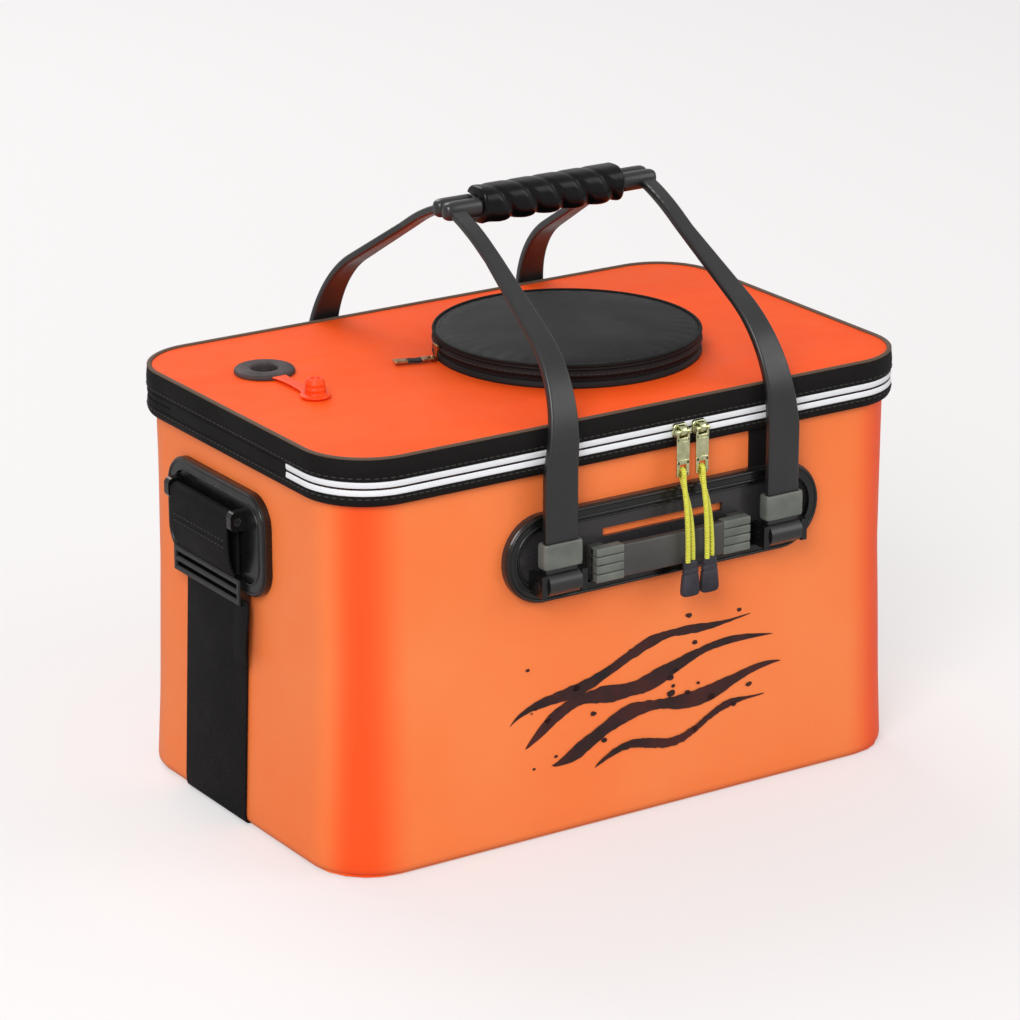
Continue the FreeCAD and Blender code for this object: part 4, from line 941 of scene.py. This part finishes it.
def keeperPart(x, y):
    look = keeperLook
    points, normals = roundedLoop(look["halfX"], look["halfY"], look["corner"], 5, alongX, alongY)
    low, high, wall = look["low"], look["high"], look["wall"]
    section = soften([(-0.2, low), (0.1, low + 2), (0.2, (low + high) / 2), (0.1, high - 2), (-0.2, high),
                      (-wall, high), (-wall, low)], 0.9, 3)
    return sweep([p + Vector((x, y, 0)) for p in points], normals, up, section)


def makeHandleSides():
    look = plateLook
    for word, flip in (("front", 1), ("rear", -1)):
        beads = [beadPart(inward, look["face"] + rise, radius) for inward, rise, radius in look["beads"]]
        makePiece(word + "PlateBeads", [mirrored(b, flip) for b in beads], ["plateGloss"], "bucket")
        makePiece(word + "GrabBar", [mirrored(b, flip) for b in barParts()], ["barSatin", "keeperSatin"],
                  "bucket", [word + "_grab_bar"])
        for side, x in zip(("left", "right"), keeperLook["arms"]):
            makePiece(word + side.capitalize() + "Keeper", [keeperPart(x, -keeperLook["y"] * flip)],
                      ["keeperSatin"], word + "_handle", ["%s_%s_keeper" % (word, side)])


makeHandleSides()


# Grip: squared sleeve with diagonal finger grooves, open to the back for the second rail
gripLook = {"x": 17, "z": 346, "half": 49, "tall": 11, "deep": 10.8, "square": 2.8, "grooves": 5,
            "pitch": 17.5, "lean": 0.3, "rake": 0.55, "cut": 1.5, "wide": 2.2, "lip": 0.5, "fade": 0.8,
            "wave": 0.035, "endFrom": 0.965, "slot": [(4, -4.95), (-1.4, -4.7), (-1.4, 4.7), (4, 4.95)]}


def gripScale(x, y, z, close):
    # How far a spot of the sleeve is drawn in by the diagonal grooves, the finger waves and the rounded ends
    look = gripLook
    depth = 0.0
    for g in range(look["grooves"]):
        off = x - (g - (look["grooves"] - 1) / 2) * look["pitch"] + look["lean"] * y + look["rake"] * z
        depth = max(depth, math.exp(-(off / look["wide"]) ** 2))
    shallow = 1 - look["fade"] * max(0.0, z / look["tall"]) ** 2  # the grooves fade out toward the top
    scale = 1 - 0.1 * close ** 2 - look["cut"] / look["tall"] * depth * shallow * (1 - close)
    if z < 0:
        scale += look["wave"] * math.cos(2 * math.pi * x / look["pitch"]) * (1 - close) * min(1, -z / 8)
    return scale


def makeGrip():
    look = gripLook
    rows, count, power = 120, 44, 2 / look["square"]
    rings = []
    for i in range(rows + 1):
        t = 2 * i / rows - 1
        x = look["half"] * t
        close = max(0.0, (abs(t) - look["endFrom"]) / (1 - look["endFrom"]))
        ring = []
        for k in range(count + 1):
            angle = look["lip"] + (2 * math.pi - 2 * look["lip"]) * k / count
            y = look["deep"] * squared(math.cos(angle), power)
            z = look["tall"] * squared(math.sin(angle), power)
            scale = gripScale(x, y, z, close)
            ring.append((y * scale, z * scale))
        ring += look["slot"]
        rings.append([Vector((look["x"] + x, y, look["z"] + z)) for y, z in ring])
    makePiece("handGrip", [loftPart(rings)], ["gripRubber"], "front_handle", ["grip"], sharp=50)


makeGrip()


# Rounded sleeves over the bare ends of the rails, between the grip and the arms
sleeveLook = {"y": 4.75, "deep": 4.55, "tall": 5.6, "square": 2.4, "sides": 32,
              "rings": [(49.4, 0.9), (49.9, 0.97), (51, 1.0), (66, 1.0), (69.5, 0.99), (71.6, 0.93),
                        (73, 0.8), (73.7, 0.55)]}


def makeSleeve(name, body, y, side):
    look = sleeveLook
    rings = []
    for along, scale in look["rings"]:
        centre = Vector((gripLook["x"] + side * along, y, gripLook["z"]))
        rings.append(squaredRing(centre, Vector((0, look["deep"] * scale, 0)), up * look["tall"] * scale,
                                 2 / look["square"], look["sides"]))
    makePiece(name, [loftPart(rings)], ["armRubber"], body, sharp=50)


for word, flip in (("front", -1), ("rear", 1)):
    for end, side in (("Left", -1), ("Right", 1)):
        makeSleeve(word + end + "RailSleeve", word + "_handle", sleeveLook["y"] * flip, side)
print("handles done")


# Strap: webbing down both sides and under the floor, folded loops on the pins
strapLook = {"y": 22, "half": 35, "thick": 1.6, "loopHalf": 33, "loopThick": 1.7,
             "tailY": 37, "tailHalf": 7,
             "hang": [(200.6, 141), (200.9, 132), (202.2, 122), (202.9, 112), (202.3, 103)],
             "run": [(196, 152), (196, 132), (200.5, 8), (200.2, 1.3), (190, 1.3)],
             "fold": [(200.3, 154.6), (200.2, 183)],
             "foldDown": [(207.3, 180), (206.9, 169), (205.6, 160), (202.8, 154.2)],
             "pin": (203.8, 189), "pinWrap": 3.6, "tackFace": 207.95, "tackLevels": (175.5, 171.5),
             "tacks": 15, "tackStep": 4}


def sideways(points, lift):
    # Normals of a path, square to it and to the lift
    last = len(points) - 1
    runs = [points[min(i + 1, last)] - points[max(i - 1, 0)] for i in range(last + 1)]
    return [run.normalized().cross(lift).normalized() for run in runs]


def ribbon(points, lift, half, thick):
    edge = thick * 0.5
    # Each side has a raised selvedge
    side = [(-edge, half), (edge * 0.8, half), (edge, half - 2.2), (edge * 0.86, half - 4.4)]
    section = soften([(out, -y) for out, y in side] + side[::-1], 0.5, 2)
    return sweep(points, sideways(points, lift), lift, section, closed=False)


def smoothPath(corners, radius, step=6):
    spots = [Vector(corner) for corner in corners]
    path = [spots[0]]
    for back, here, on in zip(spots, spots[1:], spots[2:]):
        path += roundCorner(back, here, on, radius, 6)
    path.append(spots[-1])
    fine = [path[0]]
    for a, b in zip(path, path[1:]):
        count = max(1, round((b - a).length / step))
        fine += [a.lerp(b, k / count) for k in range(1, count + 1)]
    return fine


def makeStrap():
    look = strapLook
    y, (pinX, pinZ), wrap = look["y"], look["pin"], look["pinWrap"]
    corners = [(-x, y, z) for x, z in look["run"]] + [(x, y, z) for x, z in reversed(look["run"])]
    belt = ribbon(smoothPath(corners, 7), alongY, look["half"], look["thick"])
    makePiece("shoulderStrap", [belt], ["strapCloth"], "bucket", ["shoulder_strap"])
    over = [math.pi * k / 12 for k in range(13)]
    bow = [(pinX - wrap * math.cos(a), pinZ + wrap * math.sin(a)) for a in over]
    fold = look["fold"] + bow + look["foldDown"]
    for word, side in (("left", -1), ("right", 1)):
        lift = Vector((0, -side, 0))
        loop = ribbon(smoothPath([(x * side, y, z) for x, z in fold], 3, 3), lift, look["loopHalf"],
                      look["loopThick"])
        first = y - look["tackStep"] * (look["tacks"] - 1) / 2
        spots = [(Vector((0, first + look["tackStep"] * k, 0)), Vector((side, 0, 0)), alongY)
                 for k in range(look["tacks"])]
        sewn = [stitchPart(spots, look["tackFace"], z, 3.0, 0.7, 1) for z in look["tackLevels"]]
        makePiece(word + "StrapFold", [loop] + sewn, ["strapCloth", "thread"], "bucket",
                  [word + "_strap_loop"])
        hang = [(x * side, y + side * look["tailY"], z) for x, z in look["hang"]]
        tail = ribbon(smoothPath(hang, 6, 3), lift, look["tailHalf"], look["thick"])
        makePiece(word + "StrapTail", [tail], ["strapCloth"], "bucket")


makeStrap()


# Side plates: bead round the glossy frame
sideLook = {"left": 16, "right": 28, "half": 56, "notch": 41, "strapY": 22, "low": 145, "high": 207,
            "corner": 18, "beads": [(1.6, 199.6, 1.1), (6.6, 199.8, 0.8)]}


def sideBead(word, side, shrink, face, radius):
    look = sideLook
    half, tall = look["half"] - shrink, (look["high"] - look["low"]) / 2 - shrink
    points, normals = roundedLoop(half, tall, look["corner"] - shrink * 0.6, 8, alongY, up)
    points = [p + up * (look["low"] + look["high"]) / 2 for p in points]
    # Open below, where the strap passes
    shift = look["strapY"] - look[word]
    start = Vector((0, shift + look["notch"], look["low"] + shrink))
    end = Vector((0, shift - look["notch"], look["low"] + shrink))
    points = [p + Vector((0, look[word], 0)) for p in [start] + points + [end]]
    normals = [-up] + normals + [-up]
    return sweep(points, normals, Vector((side, 0, 0)), roundSection(0, face, radius), closed=False)


for word, side in (("left", -1), ("right", 1)):
    makePiece(word + "PlateBeads", [sideBead(word, side, *bead) for bead in sideLook["beads"]],
              ["plateGloss"], "bucket")
print("strap and side plates done")


# Zip sliders, metal pullers, cord loops and rubber ends
pullLook = {"left": 25.0, "right": 38.5, "seam": 233, "pinY": -129.8, "face": -125,
            "plate": [(-5, -2.6), (-3.6, -4.4), (3.6, -4.4), (5, -2.6), (5, 2.6), (3.6, 4.4), (-3.6, 4.4),
                      (-5, 2.6)],
            "plateOff": 0.55, "plateThick": 1.85, "plateTaper": (0.9, 1, 0.88), "plateEdge": 0.35,
            # How far behind the face, half sizes and edge of the back plate and the neck between the teeth
            "backPlate": (2.9, (4.9, 0.45, 2.9), 0.3), "neck": (1.2, (1.4, 1.8, 0.16), 0.05),
            "bailY": -127.2, "bailOut": 3.6, "bailTall": 3.0, "bailRise": 0.1,
            "bail": (-0.55, 0.45, 2.1, 0.3)}


def makeSlider(word, x):
    look = pullLook
    seam, face = look["seam"], look["face"]
    bm = bmesh.new()
    front = bm.faces.new([bm.verts.new((x + px, face - look["plateOff"], seam + pz))
                          for px, pz in look["plate"]])
    raised = bmesh.ops.extrude_face_region(bm, geom=[front])
    verts = [v for v in raised["geom"] if isinstance(v, bmesh.types.BMVert)]
    bmesh.ops.translate(bm, verts=verts, vec=(0, -look["plateThick"], 0))
    bmesh.ops.scale(bm, vec=look["plateTaper"], space=Matrix.Translation((-x, 0, -seam)), verts=verts)
    bmesh.ops.bevel(bm, geom=bm.edges[:], offset=look["plateEdge"], segments=2, profile=0.5, affect="EDGES")
    over = [math.pi * k / 12 for k in range(13)]
    bail = [Vector((x, look["bailY"] - look["bailOut"] * math.sin(a),
                    seam + look["bailRise"] + look["bailTall"] * math.cos(a))) for a in over]
    parts = [bmeshPart(bm)]
    for behind, half, edge in (look["backPlate"], look["neck"]):
        parts.append(blockPart(Vector((x, face + behind, seam)), half, edge))
    section = stripSection(*look["bail"])
    parts.append(sweep(bail, sideways(bail, alongX), alongX, section, closed=False))
    makePiece(word + "ZipSlider", parts, ["zipMetal"], word + "_zip_slider", [word + "_slider"])


# Blocks are given as the drop from the seam, half width, half height and edge
pullerLook = {"thick": 0.85, "pinHalf": 4.6, "pinRadius": 1.1, "eyeHalf": 0.85, "eyeRadius": 1.75,
              "arm": 3.7, "armBlock": (2.2, 0.85, 3.6, 0.4), "leg": 3.3, "legBlock": (22, 1.05, 4.6, 0.4),
              "middle": [(10.2, 4.5, 6.6, 0.5), (18.2, 4.2, 1.5, 0.4), (25.65, 3.7, 1.15, 0.4)],
              "raised": 0.3, "raisedBlock": (10.2, 2.8, 4.6, 0.35)}


def makePuller(word, x):
    look = pullerLook
    seam, pinY = pullLook["seam"], pullLook["pinY"]

    def rod(middle, half, radius):
        ends = (Vector((x + middle + step, pinY, seam)) for step in (-half, half))
        return rodPart(*ends, radius)

    def block(off, drop, half, tall, edge, proud=0):
        return blockPart(Vector((x + off, pinY - proud, seam - drop)), (half, look["thick"], tall), edge)

    parts = [rod(0, look["pinHalf"], look["pinRadius"])] + [block(0, *sizes) for sizes in look["middle"]]
    for side in (-1, 1):
        parts += [rod(side * look["arm"], look["eyeHalf"], look["eyeRadius"]),
                  block(side * look["arm"], *look["armBlock"]), block(side * look["leg"], *look["legBlock"])]
    parts.append(block(0, *look["raisedBlock"], look["raised"]))
    makePiece(word + "ZipPuller", parts, ["zipMetal"], word + "_zip_pull", [word + "_puller"])


# Rubber end: heights with the share of the full width there, two grooves below the mouth
endLook = {"halfX": 6.25, "halfY": 2.7, "y": -138.8, "square": 0.6, "sides": 40,
           "rings": [(157.6, 0.5), (157.2, 0.66), (156.2, 0.74), (154.6, 0.78), (153.6, 0.78), (153.2, 0.73),
                     (152.6, 0.73), (152.2, 0.8), (150.4, 0.83), (150, 0.78), (149.4, 0.78), (149, 0.86),
                     (145, 0.93), (141.5, 0.98), (139, 1.0), (137.3, 0.95), (136.4, 0.8), (136, 0.55)]}


def makeEnd(word, x):
    look = endLook
    rings = [squaredRing(Vector((x, look["y"], z)), Vector((look["halfX"] * scale, 0, 0)),
                         Vector((0, look["halfY"] * scale, 0)), look["square"], look["sides"])
             for z, scale in look["rings"]]
    return makePiece(word + "PullEnd", [loftPart(rings)], ["endRubber"], word + "_zip_pull",
                     [word + "_pull_end"])


cordLook = {"radius": 1.5, "length": 0.1125,
            "route": [(-2.4, -139.8, 157), (-2.4, -139.8, 180), (-0.9, -132.4, 205), (-0.4, -132.4, 210.2),
                      (0.4, -127.2, 210.2), (0.9, -127.2, 205), (2.4, -137.8, 180), (2.4, -137.8, 157)]}


def makeCord(word, x):
    route = [(x + off, y, z) for off, y, z in cordLook["route"]]
    curve = bpy.data.curves.new(word + "PullCord", "CURVE")
    curve.dimensions = "3D"
    spline = curve.splines.new("NURBS")
    spline.points.add(len(route) - 1)
    for point, spot in zip(spline.points, route):
        point.co = (spot[0] * mm, spot[1] * mm, spot[2] * mm, 1)
    spline.order_u = 3
    spline.use_endpoint_u = True
    spline.resolution_u = 12
    curve.bevel_depth = cordLook["radius"] * mm
    curve.bevel_resolution = 5
    curve.materials.append(finishes["cordBraid"])
    cord = putIn(word + "PullCord", curve)
    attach(cord, word + "_zip_pull")
    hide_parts(word + "_pull_cord")


for word in ("left", "right"):
    makeSlider(word, pullLook[word])
    makePuller(word, pullLook[word])
    rubber = makeEnd(word, pullLook[word])
    makeCord(word, pullLook[word])
print("zip pulls done")


# Pull of the hatch zip: a cloth tongue with a metal tip
tongueLook = {"angle": 165, "pin": 83.4, "z": 252, "half": 3.3, "thick": 1.3, "clothFrom": 5, "clothLong": 13,
              "ripple": 0.15, "pinRod": (3.4, 1.05), "eyeRod": (1.5, 1.65),
              # Metal of the tongue: out from the pin, across, half sizes, edge
              "metal": [(1.2, -2.8, (2.2, 0.65, 0.75), 0.3), (1.2, 2.8, (2.2, 0.65, 0.75), 0.3),
                        (5.0, 0, (2.2, 3.4, 0.78), 0.35), (19.8, 0, (4.0, 3.5, 0.8), 0.5)],
              # Slider: out from the middle of the hatch, height, half sizes, edge
              "slider": [(81, 258.9, (1.4, 4.0, 1.65), 0.5), (81.2, 254.2, (0.65, 1.6, 3.6), 0.3),
                         (82.3, 252, (1.2, 1.5, 1.0), 0.3)]}


def makeTongue():
    look = tongueLook
    pin, z = look["pin"], look["z"]
    turn = Matrix.Translation((hatchLook["x"], hatchLook["y"], 0))
    turn = turn @ Matrix.Rotation(math.radians(look["angle"]), 4, "Z")

    def turned(parts):
        for part in parts:
            part["verts"] = [turn @ v for v in part["verts"]]
        return parts

    def rod(half, radius, finish):
        return rodPart(Vector((pin, -half, z)), Vector((pin, half, z)), radius, finish)

    start, steps = pin + look["clothFrom"], 12
    path = [Vector((start + look["clothLong"] * i / steps, 0, z + look["ripple"] * math.sin(i)))
            for i in range(steps + 1)]
    parts = [rod(*look["pinRod"], 1), ribbon(path, alongY, look["half"], look["thick"])]
    for x, y, half, edge in look["metal"]:
        parts.append(blockPart(Vector((pin + x, y, z)), half, edge, finish=1))
    makePiece("hatchPullTongue", turned(parts), ["hatchCloth", "hatchMetal"], "hatch_tongue",
              ["hatch_pull"])
    slider = [blockPart(Vector((x, 0, level)), half, edge) for x, level, half, edge in look["slider"]]
    slider.append(rod(*look["eyeRod"], 0))
    makePiece("hatchZipSlider", turned(slider), ["hatchMetal"], "hatch", ["hatch_slider"])


makeTongue()
print("hatch pull done")


# Printed wave strokes on the front, a plain decoration
printLook = {"lift": 0.22, "seed": 7, "rows": 72, "sway": 5.5, "ragged": 0.8,
             "drops": 26, "dropX": (-84, 104), "dropZ": (40, 116), "dropSize": (0.5, 1.9), "dropSides": 14,
             "strokes": [((-78, 58), (-40, 84), (0, 80), (44, 96), (98, 92), 6.5),
                         ((-88, 74), (-46, 100), (6, 94), (40, 110), (82, 108), 4.2),
                         ((-60, 44), (-24, 62), (20, 58), (58, 74), (104, 74), 7.5),
                         ((-30, 36), (6, 46), (36, 42), (64, 54), (92, 56), 4.0)]}


def onFront(x, z):
    return Vector((x, -(mouth["halfY"] + flareAt(z)) - printLook["lift"], z))


def strokePart(spots, wide, wobble):
    look, cols = printLook, 5
    verts, faces = [], []
    for i in range(look["rows"] + 1):
        t = i / look["rows"]
        level = [Vector(s) for s in spots]
        while len(level) > 1:
            level = [a.lerp(b, t) for a, b in zip(level, level[1:])]
        here = level[0]
        taper = (math.sin(math.pi * t ** 0.7) ** 0.8) if 0 < t < 1 else 0.0
        half = wide * taper * (0.75 + 0.5 * noise.noise(Vector((t * 6, wobble, 0)))) + 0.15
        sway = look["sway"] * math.sin(t * 9 + wobble) * taper
        for k in range(cols):
            s = k / (cols - 1) * 2 - 1
            ragged = half + look["ragged"] * taper * noise.noise(Vector((t * 40, wobble + s, 3)))
            verts.append(onFront(here.x, here.y + sway + s * ragged))
    for i in range(look["rows"]):
        for a in range(i * cols, i * cols + cols - 1):
            faces.append((a, a + cols, a + cols + 1, a + 1))
    return meshPart(verts, faces, 0, 2)


def makePrint():
    look = printLook
    rng = random.Random(look["seed"])
    parts = [strokePart(s[:5], s[5], 2.3 * i) for i, s in enumerate(look["strokes"])]
    for _ in range(look["drops"]):
        x, z, radius = (rng.uniform(*look[word]) for word in ("dropX", "dropZ", "dropSize"))
        verts = []
        for angle in anglesOf(look["dropSides"]):
            grow = radius * (1 + 0.3 * noise.noise(Vector((x, z, angle))))
            verts.append(onFront(x + 1.5 * grow * math.cos(angle), z + grow * math.sin(angle)))
        parts.append(meshPart(verts, [tuple(range(look["dropSides"]))], 0, 2))
    makePiece("wavePrint", parts, ["ink"], "bucket")


makePrint()
print("print done")


# Finishes of the parts that keep their moulded shape
dress(["mouth_frame"], "frameMoulded")
dress(["front_plate", "rear_plate", "left_plate", "right_plate"], "plateGloss")
dress(["left_ladder_lock", "right_ladder_lock"], "lockMoulded", 1.1)
dress(["front_handle_loop", "rear_handle_loop"], "armRubber")
dress(["front_left_pin", "front_right_pin", "rear_left_pin", "rear_right_pin", "left_strap_pin",
       "right_strap_pin"], "pinSteel")
dress(["grommet_ring"], "grommetRubber")


# Studio: pale floor, soft lights, camera
studio = {"floor": tint(188, 186, 186), "paper": (1, 0.98, 0.98, 1), "world": 0.55, "seen": 0.9, "glow": 0.4,
          "air": (1, 0.995, 0.995, 1), "size": 30, "aim": (0, 0, 0.15),
          "key": {"place": (-1.9, -1.8, 1.9), "size": 1.6, "power": 56},
          "fill": {"place": (2.4, -2.2, 1.4), "size": 2.2, "power": 24},
          "back": {"place": (0.1, 2.4, 2.4), "size": 2.0, "power": 34}}
view = {"azimuth": -33.2, "elevation": 19.15, "away": 2.52, "focal": 4220, "wide": 1020, "sensor": 36,
        "target": (-0.0081, 0, 0.1542)}


def makeStudio():
    world = bpy.data.worlds.new("studioWorld")
    bpy.context.scene.world = world
    world.use_nodes = True
    tree = world.node_tree
    back = tree.nodes["Background"]
    back.inputs["Color"].default_value = studio["air"]
    seen = addNode(tree, "ShaderNodeLightPath")
    sight = mathOf(tree, "MAXIMUM", seen.outputs["Is Camera Ray"], seen.outputs["Is Transmission Ray"])
    level = addNode(tree, "ShaderNodeMapRange", {"Value": sight, "To Min": studio["world"],
                                                 "To Max": studio["seen"]})
    tree.links.new(level.outputs["Result"], back.inputs["Strength"])
    half = studio["size"] / 2
    mesh = bpy.data.meshes.new("studioFloor")
    corners = [(-half, -half, 0), (half, -half, 0), (half, half, 0), (-half, half, 0)]
    mesh.from_pydata(corners, [], [(0, 1, 2, 3)])
    floor = putIn("studioFloor", mesh)
    made, tree, shader = newMaterial("studioPaper", Roughness=0.9, Specular_IOR_Level=0.1)
    shader.inputs["Base Color"].default_value = studio["floor"]
    shader.inputs["Emission Color"].default_value = studio["paper"]
    seen = addNode(tree, "ShaderNodeLightPath")
    glow = mathOf(tree, "MULTIPLY", seen.outputs["Is Camera Ray"], studio["glow"])
    tree.links.new(glow, shader.inputs["Emission Strength"])
    mesh.materials.append(made)
    for name in ("key", "fill", "back"):
        look = studio[name]
        lamp = bpy.data.lights.new(name + "Light", "AREA")
        lamp.shape = "DISK"
        lamp.size = look["size"]
        lamp.energy = look["power"]
        holder = putIn(name + "Light", lamp)
        holder.location = look["place"]
        aim = Vector(studio["aim"]) - Vector(look["place"])
        holder.rotation_euler = aim.to_track_quat("-Z", "Y").to_euler()


def makeCamera():
    a, e = math.radians(view["azimuth"]), math.radians(view["elevation"])
    back = Vector((math.sin(a) * math.cos(e), -math.cos(a) * math.cos(e), math.sin(e)))
    lens = bpy.data.cameras.new("photoCamera")
    lens.sensor_width = view["sensor"]
    lens.lens = view["sensor"] * view["focal"] / view["wide"]
    lens.clip_end = 60
    camera = putIn("photoCamera", lens)
    camera.location = Vector(view["target"]) + back * view["away"]
    camera.rotation_euler = (-back).to_track_quat("-Z", "Y").to_euler()
    bpy.context.scene.camera = camera


makeStudio()
makeCamera()
print("studio ready")
